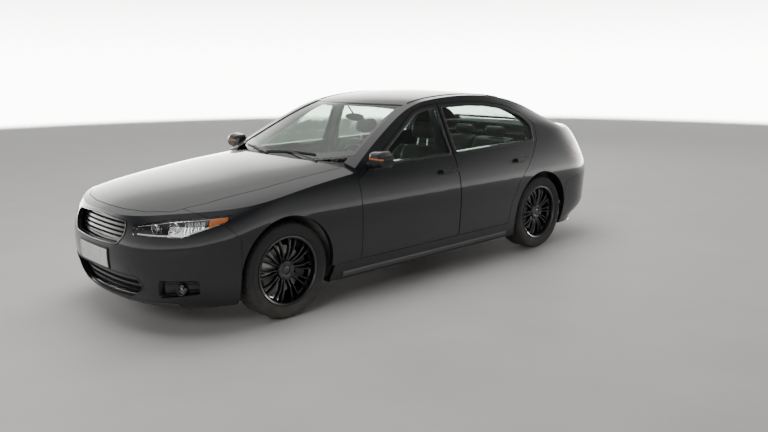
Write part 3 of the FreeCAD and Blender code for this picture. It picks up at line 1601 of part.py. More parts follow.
def make_shelf():
    """Parcel shelf and the strip between the rear window and the boot lid."""
    level = up(SHELF_LEVEL_SHARE)
    wall = dim.floor_thickness
    front = along(REAR_SEAT_SHARES[6][0]) - seal
    lid_edge = LID_SHARES[0][0] * half_length + gap
    shelf = block(lid_edge, front, -half_width, half_width, level, level + wall)
    web = block(lid_edge, lid_edge + wall, -half_width, half_width, level, height)
    strip = layer(deck_face, 2 * wall, 0).common(block(
        lid_edge, along(STRIP_FRONT_SHARE), -half_width, half_width, 0, height))
    strip = strip.common(below(cabin_face, dim.glass_inset + dim.glass_thickness + gap))
    top = web.common(below(deck_face)).fuse(strip)
    cap = layer(deck_face, 2 * wall, 0).common(block(
        lid_edge, lid_edge + over / 2, -half_width, half_width, 0, height))
    cap = cap.cut(layer(cabin_face, dim.glass_inset + dim.glass_thickness + seal, over))
    whole = shelf.fuse([top, cap]).common(inner_room).common(below(cabin_face, dim.lid_room))
    return largest(merged(whole))


add("parcel_shelf", make_shelf())


def make_cowl():
    """The panel between the bonnet's rear edge and the windscreen."""
    corner = BONNET_EDGE_SHARES[2]
    reach = out(corner[1])
    middle = BONNET_EDGE_SHARES[0][0] * half_length
    bow = (middle - corner[0] * half_length) * (half_width / reach) ** 2
    zone = bowed_strip(middle - gap, bow, SCREEN_BASE_SHARE * half_length + seal,
                       SCREEN_BASE_BOW * half_length, half_width, height / 4, height)
    slab = layer(bonnet_face, cowl_depth, -dim.cowl_drop)
    ahead = block(along(FRONT_DOOR_SHARES[0][0]) + gap, half_length, -reach, reach, 0, height)
    return largest(slab.common(zone).common(ahead).cut(bonnet_room))


add("cowl_panel", make_cowl())

# Mirrors
MIRROR_PLACE_SHARES = (0.292, 1.035, 0.700)
MIRROR_OUTLINE_SHARES = [
    (-0.50, -0.30, 0.14), (-0.47, 0.42, 0.20), (0.26, 0.50, 0.30), (0.50, 0.22, 0.24),
    (0.47, -0.32, 0.22), (-0.10, -0.50, 0.30),
]
MIRROR_STEP_SHARES = [(0.00, 1.00), (0.45, 0.97), (0.80, 0.84), (1.00, 0.56)]
MIRROR_ARM_SHARES = (0.50, 0.80, -0.36, -0.20)


def make_mirror():
    """The left door mirror: a housing that narrows to the front, open at the back, on its arm."""
    x_rear = along(MIRROR_PLACE_SHARES[0])
    y_middle = out(MIRROR_PLACE_SHARES[1])
    z_middle = up(MIRROR_PLACE_SHARES[2])
    tall = dim.mirror_height

    def corners(factor):
        return [
            (y_middle + u * dim.mirror_width * factor, z_middle + v * tall * factor,
             r * tall * factor)
            for u, v, r in MIRROR_OUTLINE_SHARES
        ]

    sections = []
    for depth, factor in MIRROR_STEP_SHARES:
        x = x_rear + depth * dim.mirror_depth
        sections.append(outline(corners(factor), 0, lambda u, v: Vector(x, u, v)))
    shell = Part.makeLoft(sections, True, False)
    recess = prism(corners(1), -dim.mirror_glass_recess, seen_from_front, x_rear - over,
                   x_rear + dim.mirror_glass_recess)
    arm_place, arm_in, arm_down, arm_out = MIRROR_ARM_SHARES
    x_arm = x_rear + arm_place * dim.mirror_depth
    foot = Vector(x_arm, out(arm_in), z_middle + arm_down * tall)
    tip = Vector(x_arm, y_middle + arm_out * dim.mirror_width, z_middle + arm_down * tall)
    arm = rod(foot, tip, dim.mirror_arm_radius)
    return largest(shell.fuse(arm).cut(outer_hull).cut(recess))


mirror = make_mirror()
add_pair("mirror", mirror)

# Wheels


class Length:
    """A number together with the sheet formula that gives it."""

    def __init__(self, formula, number):
        self.formula = formula
        self.number = number

    def __add__(self, other):
        return Length(f"({self.formula} + {other.formula})", self.number + other.number)

    def __sub__(self, other):
        return Length(f"({self.formula} - {other.formula})", self.number - other.number)

    def __mul__(self, factor):
        return Length(f"({self.formula} * {factor})", self.number * factor)

    def __neg__(self):
        return self * -1


class Bound:
    """The sheet's values as lengths that carry their formula."""

    def __getattr__(self, alias):
        return Length(f"Sizes.{alias}", float(sheet.get(alias)))


size = Bound()
NONE = Length("0", 0.0)


def new_body(label):
    """An empty body of features."""
    body = doc.addObject("PartDesign::Body", label)
    body.Label = label
    return body


def draw(body, name, role, corners):
    """A closed sketch of straight sides whose corners follow the sheet."""
    sketch = body.newObject("Sketcher::SketchObject", name)
    plane = next(item for item in body.Origin.OriginFeatures if item.Role == role)
    sketch.AttachmentSupport = (plane, [""])
    sketch.MapMode = "FlatFace"
    points = [Vector(u.number, v.number, 0) for u, v in corners]
    count = len(points)
    for k in range(count):
        sketch.addGeometry(Part.LineSegment(points[k], points[(k + 1) % count]), False)
    for k in range(count):
        sketch.addConstraint(Sketcher.Constraint("Coincident", k, 2, (k + 1) % count, 1))
    for k, pair in enumerate(corners):
        for kind, axis, length in (("DistanceX", -2, pair[0]), ("DistanceY", -1, pair[1])):
            if length.number == 0:
                sketch.addConstraint(Sketcher.Constraint("PointOnObject", k, 1, axis))
            elif length.number > 0:
                index = sketch.addConstraint(
                    Sketcher.Constraint(kind, -1, 1, k, 1, length.number))
                sketch.setExpression(f"Constraints[{index}]", length.formula)
            else:
                index = sketch.addConstraint(
                    Sketcher.Constraint(kind, k, 1, -1, 1, -length.number))
                sketch.setExpression(f"Constraints[{index}]", (-length).formula)
    return sketch


def turned(body, name, sketch):
    """A sketch turned round the body's Y axis."""
    feature = body.newObject("PartDesign::Revolution", name)
    feature.Profile = sketch
    feature.ReferenceAxis = (sketch, ["V_Axis"])
    feature.Angle = 2 * HALF_TURN
    sketch.Visibility = False
    return feature


WALL_BULGE_SHARE = 0.40
TREAD_EDGE_SHARE = 0.71
TREAD_DROP_SHARE = 0.012
SHOULDER_DROP_SHARE = 0.030
UPPER_WALL_DROP_SHARE = 0.075
UPPER_WALL_SHARE = 0.94
LOWER_WALL_SHARE = 0.94


def tyre_corners():
    """The tyre's section, radius against place along the axle."""
    bead = size.rim_width * 0.5 - size.rim_flange - size.seal_gap
    half = size.tyre_width * 0.5
    seat = size.rim_seat_radius + size.seal_gap
    depth = size.tyre_radius - size.rim_seat_radius
    side = [
        (seat, bead),
        (size.rim_flange_radius + size.seal_gap, bead),
        (size.rim_flange_radius + size.tyre_shoulder, half * LOWER_WALL_SHARE),
        (size.rim_seat_radius + depth * WALL_BULGE_SHARE + size.seal_gap, half),
        (size.tyre_radius * (1 - UPPER_WALL_DROP_SHARE), half * UPPER_WALL_SHARE),
        (size.tyre_radius * (1 - SHOULDER_DROP_SHARE), half - size.tyre_shoulder),
        (size.tyre_radius * (1 - TREAD_DROP_SHARE), half * TREAD_EDGE_SHARE),
        (size.tyre_radius, half * (TREAD_EDGE_SHARE / 2)),
    ]
    return side + [(radius, -place) for radius, place in reversed(side)]


def rim_corners():
    """The rim's barrel, spoke disc and hub as one section."""
    seat = size.rim_seat_radius
    edge = size.rim_width * 0.5
    inner = seat - size.rim_wall
    front = edge - size.spoke_setback + size.spoke_dish
    back = front - size.spoke_thickness
    hub_front = size.hub_face - size.spoke_dish
    hub_back = size.spindle_reach - size.spoke_dish
    bore = size.spindle_radius + size.spindle_clearance
    return [
        (NONE, hub_front), (NONE, size.spindle_reach + size.rim_wall * 0.5),
        (bore, size.spindle_reach + size.rim_wall * 0.5), (bore, hub_back),
        (size.hub_radius, hub_back), (inner, back), (inner, -edge),
        (size.rim_flange_radius, -edge), (size.rim_flange_radius, size.rim_flange - edge),
        (seat, size.rim_flange - edge), (seat, edge - size.rim_flange),
        (size.rim_flange_radius, edge - size.rim_flange), (size.rim_flange_radius, edge),
        (inner, edge), (inner, front), (size.hub_radius, hub_front),
    ]


def disc_corners():
    """The brake disc with its hat and hub flange."""
    bore = size.spindle_radius + size.spindle_clearance
    mount = size.spindle_reach - size.spoke_dish
    half = size.brake_disc_thickness * 0.5
    outer = size.brake_disc_offset + half
    inner = size.brake_disc_offset - half
    hat_inner = size.disc_hat_radius - size.disc_hat_wall
    return [
        (bore, mount - size.hub_flange), (bore, mount + size.seal_gap),
        (size.disc_hat_radius, mount + size.seal_gap), (size.disc_hat_radius, outer),
        (size.brake_disc_radius, outer), (size.brake_disc_radius, inner), (hat_inner, inner),
        (hat_inner, mount - size.hub_flange),
    ]


SPOKES = 10
WINDOW_INNER_SHARE = 0.13
WINDOW_OUTER_SHARE = 0.245


def place_wheel(body, axle, side):
    """Put a wheel's body on its axle, its outer face away from the car."""
    turn = Rotation(UP, 0 if side > 0 else HALF_TURN)
    body.Placement = Placement(Vector(axle, side * wheel_out, dim.tyre_radius), turn)


def make_wheel(end, side_name, axle, side):
    """Tyre and rim of one wheel, the rim with its spokes, hub and brake disc."""
    tyre = new_body(f"tyre_{end}_{side_name}")
    turned(tyre, "Carcass", draw(tyre, "Section", "XY_Plane", tyre_corners()))
    place_wheel(tyre, axle, side)
    rim = new_body(f"rim_{end}_{side_name}")
    turned(rim, "Casting", draw(rim, "RimSection", "XY_Plane", rim_corners()))
    window = draw(rim, "Window", "XZ_Plane", [
        (size.window_inner_radius, size.window_inner_radius * -WINDOW_INNER_SHARE),
        (size.window_outer_radius, size.window_outer_radius * -WINDOW_OUTER_SHARE),
        (size.window_outer_radius, size.window_outer_radius * WINDOW_OUTER_SHARE),
        (size.window_inner_radius, size.window_inner_radius * WINDOW_INNER_SHARE),
    ])
    pocket = rim.newObject("PartDesign::Pocket", "Opening")
    pocket.Profile = window
    pocket.Type = "ThroughAll"
    pocket.Midplane = True
    window.Visibility = False
    openings = rim.newObject("PartDesign::PolarPattern", "Openings")
    openings.Originals = [pocket]
    axis = next(item for item in rim.Origin.OriginFeatures if item.Role == "Y_Axis")
    openings.Axis = (axis, [""])
    openings.Angle = 2 * HALF_TURN
    openings.Occurrences = SPOKES
    rim.Tip = openings
    turned(rim, "Disc", draw(rim, "DiscSection", "XY_Plane", disc_corners()))
    place_wheel(rim, axle, side)
    pieces.extend([tyre, rim])


for end, axle in (("front", front_axle), ("rear", rear_axle)):
    for side_name, side in (("left", 1), ("right", -1)):
        make_wheel(end, side_name, axle, side)

doc.recompute()
for item in doc.Objects:
    faults = [state for state in item.State if state in ("Invalid", "Error")]
    if faults:
        raise ValueError(f"{item.Label} is {faults}")

os.makedirs("parts", exist_ok=True)
for piece in pieces:
    shape = piece.Shape
    if shape.isNull() or not shape.isValid():
        raise ValueError(f"{piece.Label} has no valid shape")
    shape.exportStep(f"parts/{piece.Label}.step")
    print(piece.Label, len(shape.Solids), round(shape.Volume / 1e6, 2), "litres")
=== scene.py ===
"""Dresses the packed four-door sedan: paint, glass, lamps, wheels, trim, cabin and stage."""

import math
from functools import partial

import bmesh
import bpy
from mathutils import Matrix, Vector
from mathutils.bvhtree import BVHTree


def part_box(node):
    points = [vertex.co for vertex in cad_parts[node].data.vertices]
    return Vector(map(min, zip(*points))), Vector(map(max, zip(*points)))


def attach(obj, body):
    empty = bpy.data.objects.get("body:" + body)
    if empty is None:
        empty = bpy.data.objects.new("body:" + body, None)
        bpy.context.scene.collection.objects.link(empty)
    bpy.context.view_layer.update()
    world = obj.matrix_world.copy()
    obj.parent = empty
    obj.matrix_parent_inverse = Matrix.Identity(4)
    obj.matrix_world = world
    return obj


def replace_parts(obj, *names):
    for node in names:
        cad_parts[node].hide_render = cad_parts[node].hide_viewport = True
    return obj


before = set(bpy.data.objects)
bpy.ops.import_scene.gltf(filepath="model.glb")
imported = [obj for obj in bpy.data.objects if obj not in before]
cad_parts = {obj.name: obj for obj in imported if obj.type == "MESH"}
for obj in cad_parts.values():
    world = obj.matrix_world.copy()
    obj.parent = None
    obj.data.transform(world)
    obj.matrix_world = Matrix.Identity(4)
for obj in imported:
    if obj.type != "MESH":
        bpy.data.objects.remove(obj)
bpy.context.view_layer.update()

bl_info = {
    "name": "Sedan dresser",
    "version": (1, 0, 0),
    "blender": (4, 5, 0),
    "location": "3D View > Sidebar > Sedan",
    "description": "Gives a packed sedan its paint, glass, wheels, trim and cabin",
    "category": "Object",
}

WHEELS = {
    f"{end}_{side}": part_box(f"tyre_{end}_{side}")
    for end in ("front", "rear") for side in ("left", "right")
}
SIDES = (("left", 1), ("right", -1))
DOOR = {"front": "front_door_{side}", "rear": "rear_door_{side}"}
MERGED = 1e-5
CORE = 0.0006  # radius left open at the axis of a turned part
SIDE_START, TOP_START, END_START = 1.5, 3, 4  # where the rays that look for the skin start
SEAT_MIDDLE = 0.37
FULL_TURN = 2 * math.pi


class BodyFinish(bpy.types.PropertyGroup):
    """Paint and glass"""

    paint: bpy.props.FloatVectorProperty(
        name="Paint", description="Base colour of the metallic paint", subtype="COLOR",
        size=3, min=0, max=1, default=(0.011, 0.012, 0.014))
    flake: bpy.props.FloatProperty(
        name="Flake size", description="Size of the metallic flakes", default=0.0009,
        unit="LENGTH")
    glass: bpy.props.FloatVectorProperty(
        name="Glass", description="Tint of the window glass", subtype="COLOR",
        size=3, min=0, max=1, default=(0.6, 0.7, 0.64))
    amber: bpy.props.FloatVectorProperty(
        name="Amber", description="Colour of the turn signals", subtype="COLOR",
        size=3, min=0, max=1, default=(0.86, 0.22, 0.02))


class WheelSizes(bpy.types.PropertyGroup):
    """Rims, tyres and brakes"""

    spokes: bpy.props.IntProperty(
        name="Spokes", description="Number of spoke pairs", default=10, min=5, max=16)
    lip: bpy.props.FloatProperty(
        name="Rim radius", description="Radius of the rim's outer edge", default=0.2405,
        unit="LENGTH")
    tread_depth: bpy.props.FloatProperty(
        name="Tread depth", description="Depth of the tyre's grooves", default=0.006,
        unit="LENGTH")
    disc: bpy.props.FloatProperty(
        name="Disc radius", description="Radius of the brake discs", default=0.162,
        unit="LENGTH")


class TrimSizes(bpy.types.PropertyGroup):
    """Number plates"""

    plate: bpy.props.FloatVectorProperty(
        name="Plate", description="Width and height of the number plates", size=2,
        unit="LENGTH", default=(0.42, 0.12))


# Working by hand: selecting, editing, finishing

def clear():
    """Nothing selected, object mode."""
    if bpy.context.mode != "OBJECT":
        bpy.ops.object.mode_set(mode="OBJECT")
    bpy.ops.object.select_all(action="DESELECT")


def pick(piece):
    """Only this piece selected and active."""
    clear()
    piece.select_set(True)
    bpy.context.view_layer.objects.active = piece


def edit(piece, kind="FACE"):
    """Edit mode with nothing selected; returns the mesh under edit."""
    pick(piece)
    bpy.ops.object.mode_set(mode="EDIT")
    bpy.ops.mesh.select_mode(type=kind)
    bpy.ops.mesh.select_all(action="DESELECT")
    return bmesh.from_edit_mesh(piece.data)


def choose(mesh, piece, test, kind="faces"):
    """Select the faces, edges or vertices that pass a test."""
    for item in getattr(mesh, kind):
        item.select_set(bool(test(item)))
    mesh.select_flush_mode()
    bmesh.update_edit_mesh(piece.data)


def fixed(piece):
    """Place, turn and scale go into the mesh."""
    pick(piece)
    bpy.ops.object.transform_apply(location=True, rotation=True, scale=True)
    return piece


def block(name, centre, size, turn=(0, 0, 0)):
    """A cuboid at its size and place."""
    clear()
    bpy.ops.mesh.primitive_cube_add(size=1, location=centre, rotation=turn)
    piece = bpy.context.active_object
    piece.name = name
    piece.scale = size
    return fixed(piece)


def barrel(name, start, end, radius, sides=32, end_radius=None):
    """A round bar or cone between two points."""
    start, end = Vector(start), Vector(end)
    way = end - start
    clear()
    bpy.ops.mesh.primitive_cone_add(
        vertices=sides, radius1=radius, radius2=radius if end_radius is None else end_radius,
        depth=way.length, location=(start + end) / 2)
    piece = bpy.context.active_object
    piece.name = name
    piece.rotation_mode = "QUATERNION"
    piece.rotation_quaternion = Vector((0, 0, 1)).rotation_difference(way)
    return fixed(piece)


def dome(name, centre, size, sides=24):
    """An ellipsoid at its size and place."""
    clear()
    bpy.ops.mesh.primitive_uv_sphere_add(segments=sides, ring_count=sides // 2, radius=1,
                                         location=centre)
    piece = bpy.context.active_object
    piece.name = name
    piece.scale = size
    return fixed(piece)


def modified(piece, kind, **values):
    """A modifier, set and applied."""
    pick(piece)
    made = piece.modifiers.new("Step", kind)
    for key, value in values.items():
        setattr(made, key, value)
    bpy.ops.object.modifier_apply(modifier=made.name)
    return piece


def rounded(piece, width, segments=2, angle=0.6):
    """Bevelled edges."""
    return modified(piece, "BEVEL", width=width, segments=segments, limit_method="ANGLE",
                    angle_limit=angle, harden_normals=False)


def soft_block(name, centre, size, edge, cuts=2, turn=(0, 0, 0)):
    """A cuboid with bevelled edges."""
    return rounded(block(name, centre, size, turn), edge, cuts)


def shaded(piece, angle=35):
    """Smooth shading, with the sharp edges kept."""
    pick(piece)
    bpy.ops.object.shade_smooth_by_angle(angle=math.radians(angle))
    return piece


def outward(piece, merge=True):
    """Doubles merged and faces turned out."""
    edit(piece)
    bpy.ops.mesh.select_all(action="SELECT")
    if merge:
        bpy.ops.mesh.remove_doubles(threshold=MERGED)
    bpy.ops.mesh.normals_make_consistent(inside=False)
    clear()
    return piece


def joined(parts, name):
    """Several meshes as one piece."""
    clear()
    for part in parts:
        part.select_set(True)
    bpy.context.view_layer.objects.active = parts[0]
    if len(parts) > 1:
        bpy.ops.object.join()
    parts[0].name = name
    return parts[0]


def from_points(name, points, faces=(), edges=()):
    """A mesh of the maker's own points."""
    data = bpy.data.meshes.new(name)
    data.from_pydata([tuple(p) for p in points], list(edges), list(faces))
    piece = bpy.data.objects.new(name, data)
    bpy.context.scene.collection.objects.link(piece)
    return piece


def grid_faces(rows, width, cyclic=False):
    """The faces between rows of points."""
    faces = []
    for row in range(rows - 1):
        for column in range(width if cyclic else width - 1):
            a, b = row * width + column, row * width + (column + 1) % width
            faces.append((a, b, b + width, a + width))
    return faces


def hull(name, loops):
    """A closed solid through loops of points."""
    width, last = len(loops[0]), len(loops) - 1
    faces = grid_faces(len(loops), width, True) + [tuple(range(width))]
    faces.append(tuple(reversed(range(last * width, (last + 1) * width))))
    return from_points(name, [spot for loop in loops for spot in loop], faces)


def spun(name, profile, centre, axis, steps=48, smooth=None):
    """A closed section turned round an axis. Each point is (radius, place along the axis)."""
    centre, axis = Vector(centre), Vector(axis).normalized()
    side = axis.orthogonal().normalized()
    points = [centre + side * r + axis * a for r, a in profile]
    count = len(points)
    piece = from_points(name, points, edges=[(k, (k + 1) % count) for k in range(count)])
    edit(piece, "EDGE")
    bpy.ops.mesh.select_all(action="SELECT")
    bpy.ops.mesh.spin(steps=steps, angle=FULL_TURN, center=centre, axis=axis)
    bpy.ops.mesh.select_all(action="SELECT")
    bpy.ops.mesh.remove_doubles(threshold=MERGED)
    bpy.ops.mesh.normals_make_consistent(inside=False)
    clear()
    return shaded(piece, smooth) if smooth else piece


def tube(name, points, radius, sides, cyclic=False, kind="POLY"):
    """A round bar along a line of points, as a mesh."""
    curve = bpy.data.curves.new(name, "CURVE")
    curve.dimensions = "3D"
    curve.bevel_depth = radius
    curve.bevel_resolution = sides
    curve.use_fill_caps = not cyclic
    spline = curve.splines.new(kind)
    spline.points.add(len(points) - 1)
    for spot, place in zip(spline.points, points):
        spot.co = (*place, 1)
    spline.use_cyclic_u = cyclic
    if kind == "NURBS":
        curve.resolution_u = 8
        spline.order_u = 3
        spline.use_endpoint_u = True
    piece = bpy.data.objects.new(name, curve)
    bpy.context.scene.collection.objects.link(piece)
    pick(piece)
    bpy.ops.object.convert(target="MESH")
    return bpy.context.active_object


def rope(name, points, radius, sides=4, cyclic=False):
    """A round strip along a line of points."""
    return shaded(tube(name, points, radius, sides, cyclic), 50)


def turned_copies(piece, count, centre, axis, name, start=0):
    """The piece copied round an axis and joined; each copy has its own mesh."""
    copies = [piece]
    for k in range(1, count):
        pick(piece)
        bpy.ops.object.duplicate()
        copy = bpy.context.active_object
        move = Matrix.Translation(centre) @ Matrix.Rotation(
            start + FULL_TURN * k / count, 4, Vector(axis)) @ Matrix.Translation(-Vector(centre))
        copy.data.transform(move)
        copies.append(copy)
    return joined(copies, name)


def copied(piece, name, move=None, mirror=False):
    """A copy with its own mesh, moved or mirrored to the car's other side."""
    pick(piece)
    bpy.ops.object.duplicate()
    copy = bpy.context.active_object
    copy.name = name
    if move is not None:
        copy.data.transform(move)
    if mirror:
        copy.data.transform(Matrix.Scale(-1, 4, (0, 1, 0)))
        outward(copy, merge=False)
    return copy


def done(piece, look, body="body", replaces=()):
    """Give a piece its finish, and name the body it rides on."""
    piece.data.materials.clear()
    piece.data.materials.append(finish(look))
    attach(piece, body)
    if replaces:
        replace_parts(piece, *replaces)
    return piece


def both(piece, look, body="body"):
    """A left-hand piece and its mirror image. body holds {side} where the name has it."""
    other = shaded(copied(piece, piece.name.replace("left", "right"), mirror=True))
    done(piece, look, body.format(side="left"))
    done(other, look, body.format(side="right"))


# The car's skin, asked by a straight ray

TREES = {}


def tree(node):
    """A node's mesh, ready for rays."""
    if node not in TREES:
        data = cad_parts[node].data
        TREES[node] = BVHTree.FromPolygons(
            [v.co.copy() for v in data.vertices], [tuple(p.vertices) for p in data.polygons])
    return TREES[node]


def hit(nodes, start, way):
    """Where a ray first meets a node or one of several, and the normal there, or None."""
    best = None
    for node in (nodes,) if isinstance(nodes, str) else nodes:
        spot, normal, _, reach = tree(node).ray_cast(Vector(start), Vector(way).normalized())
        if spot is not None and (best is None or reach < best[2]):
            best = (spot, -normal if normal.dot(Vector(way)) > 0 else normal, reach)
    return None if best is None else best[:2]


def met(nodes, start, way, lift=0.0, move=(0, 0, 0)):
    """Where a ray meets a node, lifted along the normal there and moved, or None."""
    found = hit(nodes, start, way)
    return found and found[0] + found[1] * lift + Vector(move)


def on_side(node, x, z, lift=0.0, side=1):
    """The point of a node's outer face at x and z, lifted along its normal."""
    return met(node, (x, side * SIDE_START, z), (0, -side, 0), lift)


def on_top(node, x, y, lift=0.0):
    """The point of a node's upper face at x and y, lifted along its normal."""
    return met(node, (x, y, TOP_START), (0, 0, -1), lift)


def on_nose(node, y, z, lift=0.0):
    """The point of a node's front face at y and z."""
    return met(node, (END_START, y, z), (-1, 0, 0), lift)


def on_tail(node, y, z, lift=0.0):
    """The point of a node's rear face at y and z."""
    return met(node, (-END_START, y, z), (1, 0, 0), lift)


def spread(start, end, count):
    """Evenly spaced numbers, both ends with them."""
    return [start + (end - start) * k / (count - 1) for k in range(count)]


def kept(points):
    """The points that were met."""
    return [point for point in points if point is not None]


# Finishes: node groups that several materials share

class Wires:
    """A node tree under construction. An input is a value or the output that feeds it."""

    def __init__(self, tree):
        self.tree = tree

    def feed(self, socket, value):
        """A value or a wire into a socket."""
        if isinstance(value, bpy.types.NodeSocket):
            self.tree.links.new(value, socket)
        else:
            socket.default_value = value

    def node(self, kind, **values):
        """A node. Names in lower case are its settings, the others its inputs."""
        made = self.tree.nodes.new("ShaderNode" + kind)
        for key, value in values.items():
            if key[0].islower():
                setattr(made, key, value)
            else:
                self.feed(made.inputs[key.replace("_", " ")], value)
        return made

    def spot(self, kind="Object"):
        """The coordinates."""
        return self.node("TexCoord").outputs[kind]

    def noise(self, scale, detail, vector):
        """A cloudy value."""
        return self.node("TexNoise", Vector=vector, Scale=scale, Detail=detail).outputs["Fac"]

    def maths(self, operation, *values, **settings):
        """The result of a sum or product."""
        made = self.node("Math", operation=operation, **settings)
        for socket, value in zip(made.inputs, values):
            self.feed(socket, value)
        return made.outputs[0]

    def ranged(self, value, low, high, start, end, kind="LINEAR"):
        """A value carried from low and high to start and end."""
        return self.node("MapRange", interpolation_type=kind, Value=value, From_Min=low,
                         From_Max=high, To_Min=start, To_Max=end).outputs["Result"]

    def mixed(self, share, first, second, blend="MIX"):
        """Two colours mixed."""
        return self.node("Mix", data_type="RGBA", blend_type=blend, Factor=share, A=first,
                         B=second).outputs["Result"]


def grain(wires, given):
    """Moulded grain: fine cells and a broad change of tone."""
    spot = wires.spot()
    cells = wires.node("TexVoronoi", feature="SMOOTH_F1", Vector=spot, Scale=given["Scale"])
    tone = wires.ranged(wires.noise(3.1, 6, spot), 0, 1, -1, 1)
    more = wires.maths("ADD", wires.maths("MULTIPLY", tone, given["Tone"]), 1)
    return {"Colour": wires.mixed(1, given["Colour"], more, "MULTIPLY"),
            "Roughness": wires.maths("MULTIPLY_ADD", tone, 0.12, given["Roughness"]),
            "Height": cells.outputs["Distance"]}


def dust(wires, given):
    """Settled dust: a light film in low places."""
    spot = wires.spot()
    height = wires.node("SeparateXYZ", Vector=spot).outputs["Z"]
    low = wires.ranged(height, 0.02, given["Top"], 1, 0)
    amount = wires.maths("MULTIPLY", wires.maths("MULTIPLY", low, wires.noise(14, 8, spot)),
                         given["Amount"], use_clamp=True)
    return {"Colour": wires.mixed(amount, given["Colour"], given["Dust"]), "Mask": amount}


def flake(wires, given):
    """Metallic paint: flakes in the colour, and the skin's faint ripple."""
    spot = wires.spot()
    cells = wires.node("TexVoronoi", Vector=spot, Scale=given["Scale"])
    tone = wires.ranged(cells.outputs["Color"], 0.2, 1.0, 0.55, 1.9)
    return {"Colour": wires.mixed(1, given["Colour"], tone, "MULTIPLY"),
            "Ripple": wires.noise(90, 1, spot)}


DARK = (0.1, 0.1, 0.1, 1)
SHARED = {
    "grain": ("Moulded grain", grain, {"Colour": DARK, "Scale": 600.0, "Tone": 0.15,
                                       "Roughness": 0.5}),
    "dust": ("Road dust", dust, {"Colour": DARK, "Dust": (0.16, 0.15, 0.13, 1), "Amount": 0.3,
                                 "Top": 0.45}),
    "flake": ("Paint flakes", flake, {"Colour": DARK, "Scale": 900.0}),
}
GROUPS = {}


def group(name):
    """A shared shader group, built once: its inputs, what it works out, and its outputs."""
    if name not in GROUPS:
        title, build, inputs = SHARED[name]
        tree = GROUPS[name] = bpy.data.node_groups.new(title, "ShaderNodeTree")
        kinds = {float: "NodeSocketFloat", tuple: "NodeSocketColor"}
        for socket, value in inputs.items():
            made = tree.interface.new_socket(socket, in_out="INPUT", socket_type=kinds[type(value)])
            made.default_value = value
        wires = Wires(tree)
        results = build(wires, tree.nodes.new("NodeGroupInput").outputs)
        for socket in results:
            kind = kinds[tuple if socket == "Colour" else float]
            tree.interface.new_socket(socket, in_out="OUTPUT", socket_type=kind)
        end = tree.nodes.new("NodeGroupOutput")
        for socket, value in results.items():
            wires.feed(end.inputs[socket], value)
    return GROUPS[name]


class Finish(Wires):
    """A material under construction: its Principled shader and what feeds it."""

    def __init__(self, name, colour, metallic=0.0, roughness=0.5, **sockets):
        self.material = bpy.data.materials.new(name)
        self.material.use_nodes = True
        super().__init__(self.material.node_tree)
        self.shader = self.tree.nodes["Principled BSDF"]
        self.material.diffuse_color = (*colour, 1)
        self.set(base_color=(*colour, 1), metallic=metallic, roughness=roughness, **sockets)

    def set(self, **sockets):
        """Values and wires straight on the shader, by socket name in lower case."""
        names = {socket.name.lower().replace(" ", "_"): socket for socket in self.shader.inputs}
        for key, value in sockets.items():
            self.feed(names[key], value)

    def shared(self, name, **values):
        """A shared group placed in this material, with its own values."""
        made = self.tree.nodes.new("ShaderNodeGroup")
        made.node_tree = group(name)
        for key, value in values.items():
            self.feed(made.inputs[key], value)
        return made.outputs

    def bump(self, height, strength, distance):
        """Fine relief that feeds the shader's normal. Returns the material."""
        relief = self.node("Bump", Height=height, Strength=strength, Distance=distance)
        self.set(normal=relief.outputs["Normal"])
        return self.material

    def place(self, scale=(1, 1, 1)):
        """Object coordinates through a mapping."""
        return self.node("Mapping", Vector=self.spot(), Scale=scale).outputs["Vector"]


def grained(name, colour, roughness, scale=700, strength=0.25, tone=0.18, dusty=0.0, top=0.5,
            **sockets):
    """Plastic, leather or rubber: moulded grain, uneven tone and, low down, dust."""
    finish = Finish(name, colour, roughness=roughness, **sockets)
    relief = finish.shared("grain", Colour=(*colour, 1), Scale=scale, Tone=tone,
                           Roughness=roughness)
    shade = relief["Colour"]
    if dusty:
        shade = finish.shared("dust", Colour=shade, Amount=dusty, Top=top)["Colour"]
    finish.set(base_color=shade, roughness=relief["Roughness"])
    return finish.bump(relief["Height"], strength, 0.0006)


def metal(name, colour, roughness, detail=60, strength=0.08, scale=(1, 1, 1), **sockets):
    """Cast, brushed or turned metal, its streaks drawn out by scale."""
    finish = Finish(name, colour, metallic=1.0, roughness=roughness, **sockets)
    streak = finish.noise(detail, 5, finish.place(scale))
    finish.set(
        roughness=finish.ranged(streak, 0, 1, max(roughness - 0.08, 0.02), roughness + 0.14),
        base_color=finish.mixed(streak, (*[c * 0.72 for c in colour], 1), (*colour, 1)))
    return finish.bump(streak, strength, 0.0008)


def car_paint():
    """Near-black metallic paint under a clear coat, with road dust low on the body."""
    look = bpy.context.scene.sedan_body
    colour = tuple(look.paint)
    finish = Finish("Black metallic paint", colour, metallic=0.35, roughness=0.34,
                    specular_ior_level=0.3, coat_weight=1.0, coat_roughness=0.025, coat_ior=1.4)
    flakes = finish.shared("flake", Colour=(*colour, 1), Scale=1 / look.flake)
    film = finish.shared("dust", Colour=flakes["Colour"], Amount=0.16, Top=0.62,
                         Dust=(0.1, 0.095, 0.085, 1))
    finish.set(base_color=film["Colour"],
               roughness=finish.maths("MULTIPLY_ADD", film["Mask"], 0.6, 0.3))
    return finish.bump(flakes["Ripple"], 0.012, 0.002)


def clear_finish(name, colour, roughness=0.02, weight=1.0, streak=0.02, **sockets):
    """Glass or lens: transmission with a faint film of dust."""
    finish = Finish(name, colour, roughness=roughness, transmission_weight=weight, ior=1.46,
                    **sockets)
    film = finish.noise(9, 9, finish.place())
    finish.set(roughness=finish.ranged(film, 0.45, 0.75, roughness, roughness + streak))
    return finish.material


